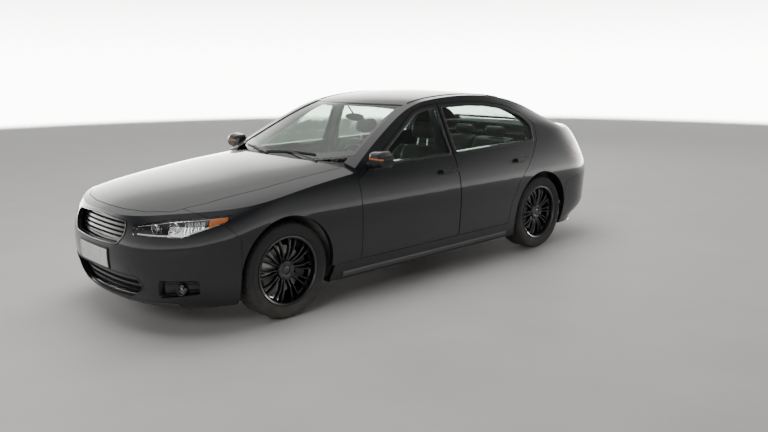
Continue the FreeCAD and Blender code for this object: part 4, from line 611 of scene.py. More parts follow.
def glowing(name, colour, strength):
    """A moulded light guide with a weak, even glow broken by its optics."""
    finish = Finish(name, colour, roughness=0.22, emission_strength=strength)
    rings = finish.node("TexVoronoi", Vector=finish.place(), Scale=260).outputs["Distance"]
    tone = finish.mixed(rings, (*colour, 1), (*[c * 0.45 for c in colour], 1))
    finish.set(base_color=tone, emission_color=tone)
    return finish.bump(rings, 0.2, 0.0006)


# Each finish: its maker, name, colour (or the setting that holds it), roughness and detail

FINISH_LIST = {
    "paint": (car_paint,),
    "glass": (clear_finish, "Window glass", "glass", 0.02, 1.0, 0.05),
    "lens": (clear_finish, "Clear lamp lens", (0.96, 0.97, 0.97), 0.02, 1.0, 0.015),
    "red_lens": (clear_finish, "Red lamp lens", (0.42, 0.012, 0.01), 0.05, 0.65, 0.04,
                 {"coat_weight": 0.8}),
    "amber_lens": (clear_finish, "Amber lamp lens", "amber", 0.12, 0.35, 0.05,
                   {"coat_weight": 0.6}),
    "light_guide": (glowing, "Clear light guide", (0.82, 0.84, 0.84), 0.35),
    "tail_guide": (glowing, "Red light guide", (0.6, 0.015, 0.012), 0.25),
    "chrome": (metal, "Bright chrome", (0.86, 0.87, 0.88), 0.05, 30, 0.01),
    "reflector": (metal, "Lamp reflector", (0.8, 0.81, 0.82), 0.09, 160, 0.02),
    "dark_chrome": (metal, "Dark chrome", (0.1, 0.1, 0.105), 0.12, 30, 0.01),
    "alloy": (metal, "Gunmetal alloy", (0.06, 0.061, 0.065), 0.3, 240, 0.03,
              {"coat_weight": 0.7, "coat_roughness": 0.08}),
    "disc": (metal, "Turned steel", (0.46, 0.45, 0.43), 0.32, 420, 0.12),
    "iron": (metal, "Cast iron", (0.1, 0.095, 0.09), 0.62, 320, 0.4),
    "steel": (metal, "Coated steel", (0.16, 0.16, 0.165), 0.48, 200, 0.2),
    "aluminium": (metal, "Cast aluminium", (0.5, 0.51, 0.52), 0.44, 260, 0.3),
    "exhaust": (metal, "Exhaust steel", (0.48, 0.45, 0.41), 0.34, 20, 0.06, (1, 8, 8)),
    "mirror": (metal, "Mirror glass", (0.88, 0.9, 0.91), 0.02, 8, 0.0),
    "satin": (metal, "Satin grey trim", (0.2, 0.2, 0.205), 0.36, 90, 0.02),
    "gloss_black": (grained, "Gloss black trim", (0.01, 0.01, 0.011), 0.1, 90, 0.02, 0.1,
                    {"coat_weight": 0.9, "coat_roughness": 0.03}),
    "plastic": (grained, "Black plastic", (0.018, 0.018, 0.019), 0.52, 900, 0.35, 0.18, 0.25, 0.6),
    "grille": (grained, "Grille plastic", (0.012, 0.012, 0.013), 0.3, 500, 0.08, 0.18, 0.12, 0.6,
               {"coat_weight": 0.3}),
    "rubber": (grained, "Seal rubber", (0.014, 0.014, 0.014), 0.68, 500, 0.12, 0.18, 0.2),
    "tyre": (grained, "Tyre rubber", (0.02, 0.02, 0.02), 0.78, 420, 0.3, 0.18, 0.75, 0.34),
    "cabin": (grained, "Cabin plastic", (0.03, 0.03, 0.031), 0.58, 1100, 0.5),
    "cabin_soft": (grained, "Soft dash skin", (0.024, 0.024, 0.025), 0.62, 520, 0.6),
    "leather": (grained, "Seat leather", (0.052, 0.049, 0.046), 0.46, 380, 0.45, 0.22,
                {"sheen_weight": 0.15}),
    "thread": (grained, "Seam thread", (0.2, 0.19, 0.17), 0.7, 2500, 0.6),
    "felt": (grained, "Felt", (0.03, 0.03, 0.031), 0.95, 2600, 1.0, 0.3, {"sheen_weight": 0.5}),
    "headliner": (grained, "Roof lining", (0.42, 0.41, 0.38), 0.95, 1800, 0.6, 0.06,
                  {"sheen_weight": 0.3}),
    "structure": (grained, "Primed steel", (0.03, 0.031, 0.033), 0.55, 120, 0.15, 0.18, 0.35),
    "plate": (grained, "Plate enamel", (0.74, 0.75, 0.74), 0.28, 60, 0.02, 0.05, 0.2, 0.6),
    "screen": (grained, "Screen glass", (0.006, 0.007, 0.009), 0.08, 40, 0.01,
               {"coat_weight": 1.0}),
    "engine": (grained, "Engine cover", (0.025, 0.025, 0.027), 0.48, 800, 0.4),
    "frosted": (grained, "Frosted lamp plastic", (0.8, 0.81, 0.8), 0.35, 300, 0.05, 0.05),
}
FINISHES = {}


def finish(name):
    """A finish by its plain name, made at first use."""
    if name not in FINISHES:
        maker, *values = FINISH_LIST[name]
        extra = values.pop() if values and isinstance(values[-1], dict) else {}
        if values and isinstance(values[1], str):
            values[1] = tuple(getattr(bpy.context.scene.sedan_body, values[1]))
        FINISHES[name] = maker(*values, **extra)
    return FINISHES[name]


# Stage and camera

CAMERA_PLACE = (4.331, 4.915, 1.733)
CAMERA_YAW, CAMERA_PITCH, CAMERA_ROLL = [math.radians(turn) for turn in (-132.9, 11.81, -0.37)]
CAMERA_LENS = 35.4
FLOOR_RADIUS = 16.6
FLOOR_FADE = (-0.8, 1.6)
COVE_BRIGHT = 12.0
COVE_LEVELS = ((0.0, 1.0), (0.08, 0.5), (0.24, 0.28), (0.42, 0.05), (1.0, 0.04))
COVE_FRONT = 0.17
COVE_SOFT = 0.25
COVE_HIGH = 0.05
SOFT_BOXES = (
    ("overhead_box", (0.2, -0.6, 6.2), (0, 0, 0), (7.5, 4.2), 590),
    ("front_box", (6.8, 3.0, 3.6), (0.6, 0, 0.5), (3.0, 2.0), 170),
    ("rear_box", (-6.5, -4.5, 4.8), (0, 0, 0.6), (4.0, 3.0), 120),
)


def stage_floor():
    """A large round concrete floor that fades into the white cove, its colour painted lighter
    towards the edge as painted light.
    """
    clear()
    bpy.ops.mesh.primitive_circle_add(vertices=128, radius=FLOOR_RADIUS + FLOOR_FADE[1],
                                      fill_type="NGON", location=(0, 0, 0))
    floor = bpy.context.active_object
    floor.name = "studio_floor"
    look = Finish("Studio floor", (0.42, 0.41, 0.4), roughness=0.6)
    spot = look.spot()
    reach = look.node("VectorMath", operation="LENGTH", Vector=spot).outputs["Value"]
    cloud = look.noise(1.7, 8, spot)
    tone = look.mixed(cloud, (0.34, 0.328, 0.326, 1), (0.42, 0.408, 0.404, 1))
    # Painted light: the floor's colour grows lighter from 4 m out to the edge, standing in for the
    # cove's light on the far floor.
    painted_light_share = look.ranged(reach, 4.0, FLOOR_RADIUS, 0, 1)
    look.set(base_color=look.mixed(painted_light_share, tone, (0.8, 0.8, 0.77, 1)),
             alpha=look.ranged(reach, FLOOR_RADIUS + FLOOR_FADE[0], FLOOR_RADIUS + FLOOR_FADE[1],
                               1.0, 0.0, "SMOOTHSTEP"))
    floor.data.materials.append(look.bump(cloud, 0.05, 0.002))


def stage_light():
    """A white cove, brightest low behind the car, with soft boxes overhead and at both ends."""
    world = bpy.context.scene.world = bpy.data.worlds.new("Cove")
    world.use_nodes = True
    sky = Wires(world.node_tree)
    way = sky.spot("Generated")
    height = sky.node("SeparateXYZ", Vector=way).outputs["Z"]
    facing = sky.node("VectorMath", operation="DOT_PRODUCT", Vector=way)
    facing.inputs[1].default_value = (math.cos(CAMERA_YAW), math.sin(CAMERA_YAW), 0)
    behind = sky.ranged(facing.outputs["Value"], 0.0, 0.7, COVE_FRONT, 1.0, "SMOOTHSTEP")
    ramp = sky.node("ValToRGB", Fac=height)
    stops = ramp.color_ramp.elements
    for number, (place, value) in enumerate(COVE_LEVELS):
        stop = stops[number] if number < 2 else stops.new(place)
        stop.position = place
        stop.color = (value, value, value, 1)
    high = sky.ranged(height, 0.5, 0.75, 0.0, COVE_HIGH, "SMOOTHSTEP")
    level = sky.maths("ADD", sky.maths("MULTIPLY", behind, ramp.outputs["Color"]), high)
    level = sky.maths("MULTIPLY", level, COVE_BRIGHT)
    diffuse = sky.node("LightPath").outputs["Is Diffuse Ray"]
    soft = sky.ranged(diffuse, 0.0, 1.0, 1.0, COVE_SOFT, "SMOOTHSTEP")
    back = sky.tree.nodes["Background"]
    sky.feed(back.inputs["Strength"], sky.maths("MULTIPLY", level, soft))
    back.inputs["Color"].default_value = (1.0, 0.992, 0.965, 1)
    for name, place, aim, size, energy in SOFT_BOXES:
        light = bpy.data.lights.new(name, "AREA")
        light.shape = "RECTANGLE"
        light.size, light.size_y = size
        light.energy = energy
        lamp = bpy.data.objects.new(name, light)
        lamp.location = place
        lamp.rotation_euler = (Vector(aim) - Vector(place)).to_track_quat("-Z", "Y").to_euler()
        lamp.visible_glossy = False
        bpy.context.scene.collection.objects.link(lamp)


def stage_camera():
    """The photograph's viewpoint."""
    flat = math.cos(CAMERA_PITCH)
    way = Vector((math.cos(CAMERA_YAW) * flat, math.sin(CAMERA_YAW) * flat,
                  -math.sin(CAMERA_PITCH)))
    data = bpy.data.cameras.new("photo_camera")
    data.sensor_width = 36
    data.lens = CAMERA_LENS
    data.clip_end = 200
    camera = bpy.data.objects.new("photo_camera", data)
    camera.location = CAMERA_PLACE
    turn = Matrix.Rotation(CAMERA_ROLL, 3, "Z").to_quaternion()
    camera.rotation_euler = (way.to_track_quat("-Z", "Y") @ turn).to_euler()
    bpy.context.scene.collection.objects.link(camera)
    bpy.context.scene.camera = camera


# CAD pieces that keep their shape and get their finish

NODE_FINISH = {
    "floor_pan": "structure", "front_bumper": "paint", "rear_bumper": "paint",
    "grilles": "grille", "head_lamp_lenses": "lens", "wheel_liners": "felt",
    "front_suspension": "steel", "rear_suspension": "steel", "engine_block": "aluminium",
    "radiator": "aluminium", "fuel_tank": "plastic", "exhaust": "exhaust",
    "parcel_shelf": "felt", "cowl_panel": "plastic", "dashboard": "cabin_soft",
    "bonnet": "paint", "boot_lid": "paint", "roof_panel": "paint", "windscreen": "glass",
    "rear_window": "glass", "tail_lamps": "red_lens", "head_lamps": "reflector",
    "front_seats": "leather", "rear_seat": "leather", "steering_wheel": "leather",
}


def node_finish(node):
    """The finish of a CAD node."""
    if node in NODE_FINISH:
        return NODE_FINISH[node]
    for start, name in (("body_side", "paint"), ("front_fender", "paint"), ("door", "paint"),
                        ("glass", "glass"), ("mirror", "paint"), ("knuckle", "iron"),
                        ("tyre", "tyre"), ("rim", "alloy")):
        if node.startswith(start):
            return name
    return "structure"


def dress_nodes():
    """Every CAD node gets its own finish in its material slots."""
    for name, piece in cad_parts.items():
        piece.data.materials.clear()
        piece.data.materials.append(finish(node_finish(name)))


# Wheels

def one_tyre(name, centre):
    """A tyre: bulged walls with ribs, five tread bands, and cross grooves in the shoulders."""
    sizes = bpy.context.scene.sedan_wheels
    low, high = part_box("tyre_front_left")
    radius = (high.z - low.z) / 2
    half = (high.y - low.y) / 2
    bead = 0.2295
    deep = sizes.tread_depth
    crown = []
    bands = ((-0.8, -0.54), (-0.47, -0.2), (-0.14, 0.14), (0.2, 0.47), (0.54, 0.8))
    for k, (a, b) in enumerate(bands):
        for place in (a, (a + b) / 2, b):
            fall = 0.0035 * abs(place) ** 2 / 0.64
            crown.append((radius - 0.0006 - fall, place * half))
        if k < len(bands) - 1:
            nxt = bands[k + 1][0]
            fall = 0.0035 * abs(b) ** 2 / 0.64
            crown.append((radius - deep - fall, (b * 0.8 + nxt * 0.2) * half))
            crown.append((radius - deep - fall, (b * 0.2 + nxt * 0.8) * half))
    wall = [
        (radius - 0.0135, 0.91), (radius - 0.0155, 0.935), (radius - 0.028, 0.952),
        (radius - 0.03, 0.966), (radius - 0.046, 0.985), (radius - 0.048, 0.978),
        (0.284, 0.993), (0.268, 0.985), (0.258, 0.962), (0.256, 0.975), (0.2505, 0.955),
        (0.244, 0.905), (0.2424, 0.868), (0.2418, 0.835),
    ]
    left = [(r, p * half) for r, p in wall]
    right = [(r, -p * half) for r, p in reversed(wall)]
    profile = [(bead + 0.001, -0.83 * half)] + right + crown + left + [(bead + 0.001, 0.83 * half)]
    tyre = spun(name, profile, centre, (0, 1, 0), steps=120)
    mesh = edit(tyre)
    middle = Vector(centre)

    def groove(face):
        spot = face.calc_center_median() - middle
        across = abs(spot.y) / half
        reach = math.hypot(spot.x, spot.z)
        step = int(round(math.atan2(spot.z, spot.x) / FULL_TURN * 120))
        wide = 0.66 < across < 0.93 and reach > radius - 0.016
        inner = 0.2 < across < 0.46 and reach > radius - 0.003
        return (wide and step % 3 == 0) or (inner and step % 6 == 1)

    choose(mesh, tyre, groove)
    bpy.ops.mesh.extrude_region_move()
    share = (radius - 0.0048) / radius
    bpy.ops.transform.resize(value=(share, 1, share), center_override=centre)
    clear()
    return shaded(tyre, 32)


def one_rim(name, centre):
    """A dark alloy wheel, its face outwards along +Y: barrel, twin spokes, hub, nuts and cap."""
    sizes = bpy.context.scene.sedan_wheels
    centre = Vector(centre)
    lip = sizes.lip
    outer = lip - 0.012
    drum = spun(name, [
        (lip, 0.1055), (lip + 0.0002, 0.1035), (lip - 0.001, 0.0985), (outer, 0.0965),
        (outer - 0.002, 0.06), (outer - 0.01, 0.052), (outer - 0.01, -0.052),
        (outer - 0.001, -0.062), (outer - 0.001, -0.0965), (lip, -0.0985), (lip, -0.1055),
        (outer - 0.004, -0.1045), (outer - 0.008, -0.062), (outer - 0.017, -0.052),
        (outer - 0.017, 0.05), (outer - 0.009, 0.062), (outer - 0.0085, 0.086),
        (outer - 0.003, 0.101), (lip - 0.0045, 0.1062),
    ], centre, (0, 1, 0), 96, 30)
    spokes = []
    inner_reach, outer_reach = 0.05, outer - 0.0065
    for side in (-1, 1):
        spoke = block("spoke", (0, 0, 0), (1, 1, 1))
        edit(spoke, "VERT")
        bpy.ops.mesh.select_all(action="SELECT")
        bpy.ops.mesh.subdivide(number_cuts=4)
        clear()
        for vertex in spoke.data.vertices:
            t = vertex.co.x + 0.5
            reach = inner_reach + (outer_reach - inner_reach) * t
            spread_out = side * (0.0075 + 0.0185 * t ** 1.25)
            wide = 0.0135 - 0.0055 * math.sin(math.pi * min(t * 1.1, 1)) + 0.004 * t ** 6
            face = 0.08 - 0.018 * (2 * t - 1) ** 2 + 0.012 * t
            crease = 1 - 1.1 * abs(vertex.co.z) ** 2
            if vertex.co.y > 0:
                y = face * crease + 0.012 * (1 - crease) + (vertex.co.y - 0.5) * 0.012
            else:
                y = face - 0.034 + 0.01 * t - (0.5 + vertex.co.y) * 0.004
            vertex.co = Vector((reach, y, spread_out + vertex.co.z * 2 * wide))
        spokes.append(rounded(spoke, 0.0016, 2, 0.5))
    pair = joined(spokes, "spoke_pair")
    pair.data.transform(Matrix.Translation(centre))
    shaded(pair, 40)
    fan = turned_copies(pair, sizes.spokes, centre, (0, 1, 0), "spoke_fan")
    hub = spun("hub", [
        (0.004, 0.064), (0.03, 0.064), (0.0305, 0.0665), (0.0325, 0.0665), (0.034, 0.074),
        (0.048, 0.078), (0.062, 0.076), (0.066, 0.07), (0.072, 0.052), (0.074, 0.034),
        (0.03, 0.034), (0.004, 0.034),
    ], centre, (0, 1, 0), 64, 35)
    nut = barrel("nut", centre + Vector((0.0545, 0.06, 0)), centre + Vector((0.0545, 0.084, 0)),
                 0.0102, 6, 0.0092)
    nuts = turned_copies(rounded(nut, 0.0012, 1, 0.4), 5, centre, (0, 1, 0), "nuts")
    cap = spun("centre_cap", [
        (0.0005, 0.0765), (0.012, 0.0763), (0.022, 0.0752), (0.0285, 0.0728), (0.0298, 0.07),
        (0.0298, 0.064), (0.0005, 0.064),
    ], centre, (0, 1, 0), 48, 40)
    valve = barrel("valve", centre + Vector((0.196, 0.07, 0.012)),
                   centre + Vector((0.19, 0.098, 0.012)), 0.0042, 12, 0.0034)
    return joined([drum, fan, hub, cap, valve, nuts], name)


def one_disc(name, centre):
    """A ventilated disc: two rings with a gap between, and the hat."""
    radius = bpy.context.scene.sedan_wheels.disc
    centre = Vector(centre)
    ring = spun(name, [
        (radius, 0.0185), (radius, 0.0105), (radius - 0.006, 0.0095), (radius - 0.006, 0.0005),
        (radius, -0.0005), (radius, -0.0085), (0.092, -0.0085), (0.09, -0.0075),
        (0.068, -0.0075), (0.068, 0.029), (0.03, 0.029), (0.03, 0.0405), (0.0785, 0.0405),
        (0.0795, 0.02), (0.09, 0.019), (0.092, 0.0185),
    ], centre, (0, 1, 0), steps=96)
    return shaded(ring, 30)


class SEDAN_OT_wheels(bpy.types.Operator):
    """Replace the plain wheels by tyres with tread, alloy rims and brake discs"""

    bl_idname = "sedan.wheels"
    bl_label = "Wheels"

    def execute(self, context):
        master_centre = Vector((0, 0, 0))
        tyre = one_tyre("tyre_master", master_centre)
        rim = one_rim("rim_master", master_centre)
        disc = one_disc("disc_master", master_centre)
        for key, (low, high) in WHEELS.items():
            centre = (low + high) / 2
            side = 1 if key.endswith("left") else -1
            move = Matrix.Translation(centre)
            if side < 0:
                move = move @ Matrix.Rotation(math.pi, 4, "Z")
            body = f"wheel_{key}"
            done(copied(tyre, f"road_tyre_{key}", move), "tyre", body, [f"tyre_{key}"])
            done(copied(rim, f"alloy_rim_{key}", move), "alloy", body, [f"rim_{key}"])
            done(copied(disc, f"brake_disc_{key}", move), "disc", body)
        for master in (tyre, rim, disc):
            bpy.data.objects.remove(master)
        return {"FINISHED"}


# Outlines and sheets that follow the skin

def round_outline(corners, grow=0.0, step=0.012):
    """A closed line through corners (u, v, radius), rounded, evenly divided and grown."""
    line = []
    spots = [Vector((u, v)) for u, v, _ in corners]
    count = len(spots)
    for k, (_, _, radius) in enumerate(corners):
        before, here, after = spots[k - 1], spots[k], spots[(k + 1) % count]
        back, on = (before - here).normalized(), (after - here).normalized()
        half = back.angle(on) / 2
        reach = min(radius / math.tan(half), 0.48 * (before - here).length,
                    0.48 * (after - here).length)
        middle = here + (back + on).normalized() * (reach / math.cos(half))
        start, end = here + back * reach - middle, here + on * reach - middle
        turns = max(int(start.angle(end, 0) * start.length / step), 2)
        for n in range(turns + 1):
            share = n / turns
            way = (start * (1 - share) + end * share).normalized()
            line.append(middle + way * start.length)
    even = []
    for k, here in enumerate(line):
        after = line[(k + 1) % len(line)]
        parts = max(int((after - here).length / step), 1)
        even += [here + (after - here) * (n / parts) for n in range(parts)]
    area = sum(a.x * b.y - b.x * a.y for a, b in zip(even, even[1:] + even[:1]))
    turn = 1 if area > 0 else -1
    shifted = []
    for k, here in enumerate(even):
        along = even[(k + 1) % len(even)] - even[k - 1]
        normal = Vector((along.y, -along.x)).normalized() * turn
        shifted.append(here + normal * grow)
    return shifted


def box_outline(left, right, low, high, radius, step=0.012):
    """A rounded rectangle, from its lower left corner."""
    return round_outline([(left, low, radius), (right, low, radius), (right, high, radius),
                          (left, high, radius)], 0, step)


def laid(points, ask):
    """Each 2D point put on the skin by ask; a miss keeps the depth of its neighbour."""
    found = [ask(u, v) for u, v in points]
    known = [k for k, spot in enumerate(found) if spot is not None]
    for k, spot in enumerate(found):
        if spot is None:
            found[k] = found[min(known, key=lambda other: abs(other - k))].copy()
    return found


def skin(name, rows, outside, thickness, cyclic=False, edge=0.0):
    """A sheet through rows of points, its front towards outside, thickened outwards."""
    piece = from_points(name, [spot for row in rows for spot in row],
                        grid_faces(len(rows), len(rows[0]), cyclic))
    way = Vector(outside)
    if sum(face.normal.dot(way) * face.area for face in piece.data.polygons) < 0:
        piece.data.flip_normals()
    modified(piece, "SOLIDIFY", thickness=thickness, offset=1.0, use_even_offset=True)
    if edge:
        rounded(piece, edge, 1, 0.9)
    return shaded(piece, 40)


def panel(name, levels, line, ask, outside, thickness, edge=0.0, lift=0.0):
    """A sheet on the skin: a line of places at several levels, each level a number or a number
    and its own lift, put on the skin by ask(along, level, lift)."""
    rows = []
    for level in levels:
        place, rise = level if isinstance(level, tuple) else (level, lift)
        rows.append(laid([(along, place) for along in line],
                         lambda along, place: ask(along, place, rise)))
    return skin(name, rows, outside, thickness, edge=edge)


def band(name, outline, inner, outer, lift, thickness, outside, ask, crown=0.0):
    """A moulding round an opening, from one growth of its outline to another."""
    rows = []
    for grow in spread(inner, outer, 3):
        rise = lift + crown * (1 - abs(2 * (grow - inner) / (outer - inner) - 1))
        rows.append(laid([tuple(p) for p in outline(grow)], lambda u, v: ask(u, v, rise)))
    return skin(name, rows, outside, thickness, cyclic=True)


def corner_ray(node, angle, s, z, depth=0.0):
    """The outer face of a corner lamp, met along a slanted level line, sunk by depth."""
    turn = math.radians(angle)
    way = Vector((math.cos(turn), math.sin(turn), 0))
    across = Vector((-math.sin(turn), math.cos(turn), 0))
    return met(node, across * s + way * END_START + Vector((0, 0, z)), -way, -depth)


def taken(node, name, keep):
    """A new mesh of a node's own faces, where keep(middle, normal) holds."""
    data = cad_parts[node].data
    faces = [tuple(f.vertices) for f in data.polygons if keep(f.center, f.normal)]
    used = sorted({v for face in faces for v in face})
    place = {v: k for k, v in enumerate(used)}
    piece = from_points(name, [data.vertices[v].co for v in used],
                        [tuple(place[v] for v in face) for face in faces])
    edit(piece)
    bpy.ops.mesh.select_all(action="SELECT")
    bpy.ops.mesh.remove_doubles(threshold=MERGED)
    clear()
    return piece


def between(line, s):
    """The height of a lamp's edge at s."""
    for (s0, z0), (s1, z1) in zip(line, line[1:]):
        if s0 <= s <= s1:
            return z0 + (z1 - z0) * (s - s0) / (s1 - s0)
    return line[0][1] if s < line[0][0] else line[-1][1]


# Head lamps and tail lamps

HEAD_ANGLE = 36
HEAD_LOW = [(-1.012, 0.655), (-0.659, 0.655), (-0.404, 0.737)]
HEAD_HIGH = [(-1.012, 0.713), (-0.744, 0.757), (-0.398, 0.773)]
TAIL_ANGLE = 142
TAIL_LOW = [(0.528, 0.812), (1.079, 0.812)]
TAIL_HIGH = [(0.469, 0.896), (0.661, 0.945), (1.042, 0.95)]


def faces_out(angle, normal):
    """Whether a face looks out of the car's corner."""
    turn = math.radians(angle)
    return normal.x * math.cos(turn) + normal.y * math.sin(turn) > 0.25


def lamp_housing(node, name, angle):
    """The walls and back of a lamp's CAD solid, as an open moulded bowl."""
    piece = taken(node, name, lambda spot, normal: spot.y > 0 and not faces_out(angle, normal))
    modified(piece, "SOLIDIFY", thickness=0.0022, offset=-1.0)
    return shaded(piece, 40)


def lamp_sheet(name, node, angle, low, high, span, margin, depth, columns, rows):
    """A sheet behind the lens, between the lamp's lower and upper edge."""
    def sunk(s, z):
        return corner_ray(node, angle, s, z, depth(s, z) if callable(depth) else depth)

    sheet = []
    for share in spread(0, 1, rows):
        line = []
        for s in spread(span[0], span[1], columns):
            bottom, top = between(low, s) + margin, between(high, s) - margin
            line.append((s, bottom + (top - bottom) * share))
        sheet.append(laid(line, sunk))
    turn = math.radians(angle)
    return skin(name, sheet, (math.cos(turn), math.sin(turn), 0), 0.0015)


def projector(name, s, z, radius, back):
    """A projector's bezel, its bowl and its lens; axis forwards."""
    centre = Vector((corner_ray("head_lamp_lenses", HEAD_ANGLE, s, z).x - back, 0, z))
    centre.y = corner_ray("head_lamp_lenses", HEAD_ANGLE, s, z).y
    k = radius
    profiles = {
        "bezel": [(k, -0.014), (k, 0.0), (k - 0.0012, 0.0024), (k - 0.003, 0.0026),
                  (k - 0.0042, 0.0008), (k - 0.0052, -0.012), (k - 0.0062, -0.013),
                  (k - 0.0062, -0.016)],
        "bowl": [(k - 0.005, -0.012), (k - 0.0075, -0.02), (k - 0.0078, -0.03),
                 (k - 0.01, -0.04), (0.012, -0.052), (CORE, -0.053), (CORE, -0.055),
                 (0.013, -0.054), (k - 0.009, -0.042), (k - 0.0062, -0.032),
                 (k - 0.006, -0.02), (k - 0.0035, -0.014)],
        "lens": [(CORE, 0.001), (k * 0.3, -0.0004), (k * 0.55, -0.005), (k * 0.7, -0.0115),
                 (k * 0.745, -0.016), (k * 0.745, -0.019), (CORE, -0.019)],
    }
    return [spun(f"{name}_{tag}", profile, centre, (1, 0.1, 0), 64, 30)
            for tag, profile in profiles.items()]


def fluted(s, z):
    """Depth of a reflector pressed into upright flutes."""
    return 0.03 + 0.005 * abs(math.sin(s * 150))


class SEDAN_OT_head_lamps(bpy.types.Operator):
    """Open the head lamps: housing, projectors, light guides and the amber corner"""

    bl_idname = "sedan.head_lamps"
    bl_label = "Head lamps"

    def execute(self, context):
        node = "head_lamp_lenses"
        housing = lamp_housing("head_lamps", "head_lamp_housing_left", HEAD_ANGLE)
        both(housing, "gloss_black")
        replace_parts(housing, "head_lamps")
        for tag, look, span, margin, depth, columns, rows in (
                ("bezel", "gloss_black", (-0.995, -0.43), 0.004,
                 lambda s, z: 0.046 if s < -0.66 else 0.046 - 0.1 * (s + 0.66), 40, 7),
                ("fan", "reflector", (-0.665, -0.535), 0.009, fluted, 60, 5),
                ("turn_signal", "amber_lens", (-0.515, -0.418), 0.007, 0.014, 24, 5)):
            both(lamp_sheet(f"head_lamp_{tag}_left", node, HEAD_ANGLE, HEAD_LOW, HEAD_HIGH, span,
                            margin, depth, columns, rows), look)
        for tag, *place in (("outer", -0.765, 0.705, 0.04, 0.046),
                            ("inner", -0.885, 0.695, 0.0345, 0.036)):
            bezel, bowl, lens = projector(f"projector_{tag}_left", *place)
            both(bezel, "chrome")
            both(bowl, "reflector")
            both(lens, "lens")
        for name, look, slot, ends, edge, lift, sunk, radius in (
                ("light_guide", "light_guide", "lens", (-0.985, -0.46), HEAD_LOW, 0.0105, 0.017,
                 0.0042),
                ("lamp_brow", "chrome", "lamp", (-0.99, -0.44), HEAD_HIGH, -0.0075, 0.015,
                 0.0026)):
            line = kept(corner_ray(node, HEAD_ANGLE, s, between(edge, s) + lift, sunk)
                        for s in spread(*ends, 60))
            both(rope(f"{name}_left", line, radius), look)
        return {"FINISHED"}


class SEDAN_OT_tail_lamps(bpy.types.Operator):
    """Open the tail lamps: red lens, light bars, reversing lamp and housing"""

    bl_idname = "sedan.tail_lamps"
    bl_label = "Tail lamps"

    def execute(self, context):
        node = "tail_lamps"
        housing = lamp_housing(node, "tail_lamp_housing_left", TAIL_ANGLE)
        both(housing, "gloss_black")
        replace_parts(housing, node)
        lens = taken(node, "tail_lamp_lens_left",
                     lambda spot, normal: spot.y > 0 and faces_out(TAIL_ANGLE, normal))
        modified(lens, "SOLIDIFY", thickness=0.003, offset=-1.0)
        both(shaded(lens, 40), "red_lens")
        both(lamp_sheet("tail_lamp_reflector_left", node, TAIL_ANGLE, TAIL_LOW, TAIL_HIGH,
                        (0.56, 1.03), 0.006,
                        lambda s, z: 0.036 + 0.004 * abs(math.sin(s * 90)), 70, 7),
             "reflector")
        for k, (z, start) in enumerate(((0.842, 0.6), (0.88, 0.58), (0.916, 0.62))):
            line = kept(corner_ray(node, TAIL_ANGLE, s, z, 0.013) for s in spread(start, 1.0, 50))
            both(rope(f"tail_light_bar_{k}_left", line, 0.0062), "tail_guide")
        both(lamp_sheet("reversing_lamp_left", node, TAIL_ANGLE, [(0.9, 0.826), (1.1, 0.826)],
                        [(0.9, 0.866), (1.1, 0.866)], (0.965, 1.035), 0.0, 0.0085, 12, 4),
             "frosted")
        return {"FINISHED"}


# The nose: grille, intakes, fog lamps and number plates

UPPER_OUTLINE = [(0.0, 0.574, 0.3), (0.313, 0.583, 0.044), (0.382, 0.655, 0.058),
                 (0.363, 0.722, 0.029), (0.0, 0.742, 0.3)]
LOWER_OUTLINE = [(0.0, 0.232, 0.3), (0.386, 0.238, 0.029), (0.515, 0.312, 0.029),
                 (0.478, 0.38, 0.029), (0.0, 0.389, 0.3)]
UPPER_LEVELS = [0.574 + 0.168 * k / 6 for k in range(1, 6)]
LOWER_LEVELS = [0.232 + 0.157 * k / 4 for k in range(1, 4)]


def nose_outline(shares, grow):
    """A symmetrical opening in the nose, as (y, z)."""
    left = list(shares)
    right = [(-y, z, r) for y, z, r in reversed(shares) if y > 0]
    return round_outline(left + right, grow)


EDGE_CACHE = {}


def opening_edges(outline, z):
    """The outermost y of a nose opening at a height."""
    key = (outline[0], round(z, 5))
    if key not in EDGE_CACHE:
        line = nose_outline(outline, -0.012)
        reach = 0.0
        for a, b in zip(line, line[1:] + line[:1]):
            if (a.y - z) * (b.y - z) <= 0 and a.y != b.y:
                reach = max(reach, abs(a.x + (b.x - a.x) * (z - a.y) / (b.y - a.y)))
        EDGE_CACHE[key] = reach
    return EDGE_CACHE[key]


def bar_front(levels, y, z, depth):
    """A point behind the grille's bars, whose fronts are met by rays at their own levels."""
    known = [(level, on_nose("grilles", y, level)) for level in levels]
    known = [(level, spot.x) for level, spot in known if spot is not None and spot.x > 2.0]
    if not known:
        return None
    if len(known) == 1:
        return Vector((known[0][1] - depth, y, z))
    known.sort()
    pairs = list(zip(known, known[1:]))
    pair = next((p for p in pairs if z <= p[1][0]), pairs[-1])
    (z0, x0), (z1, x1) = pair
    x = x0 + (x1 - x0) * (z - z0) / (z1 - z0)
    return Vector((x - depth, y, z))


def lattice(name, outline, levels, pitch, depth, radius):
    """Upright slats behind a grille's bars."""
    slats = []
    z_low = min(v for _, v, _ in outline) + 0.016
    z_high = max(v for _, v, _ in outline) - 0.016
    reach = max(u for u, _, _ in outline)
    count = int(reach / pitch)
    for k in range(-count, count + 1):
        y = k * pitch
        heights = [z for z in spread(z_low, z_high, 40) if opening_edges(outline, z) > abs(y)]
        if len(heights) < 4:
            continue
        points = [bar_front(levels, y, z, depth) for z in spread(heights[0], heights[-1], 8)]
        if any(p is None for p in points):
            continue
        slats.append(rope("slat", points, radius, sides=0))
    return shaded(joined(slats, name), 30)


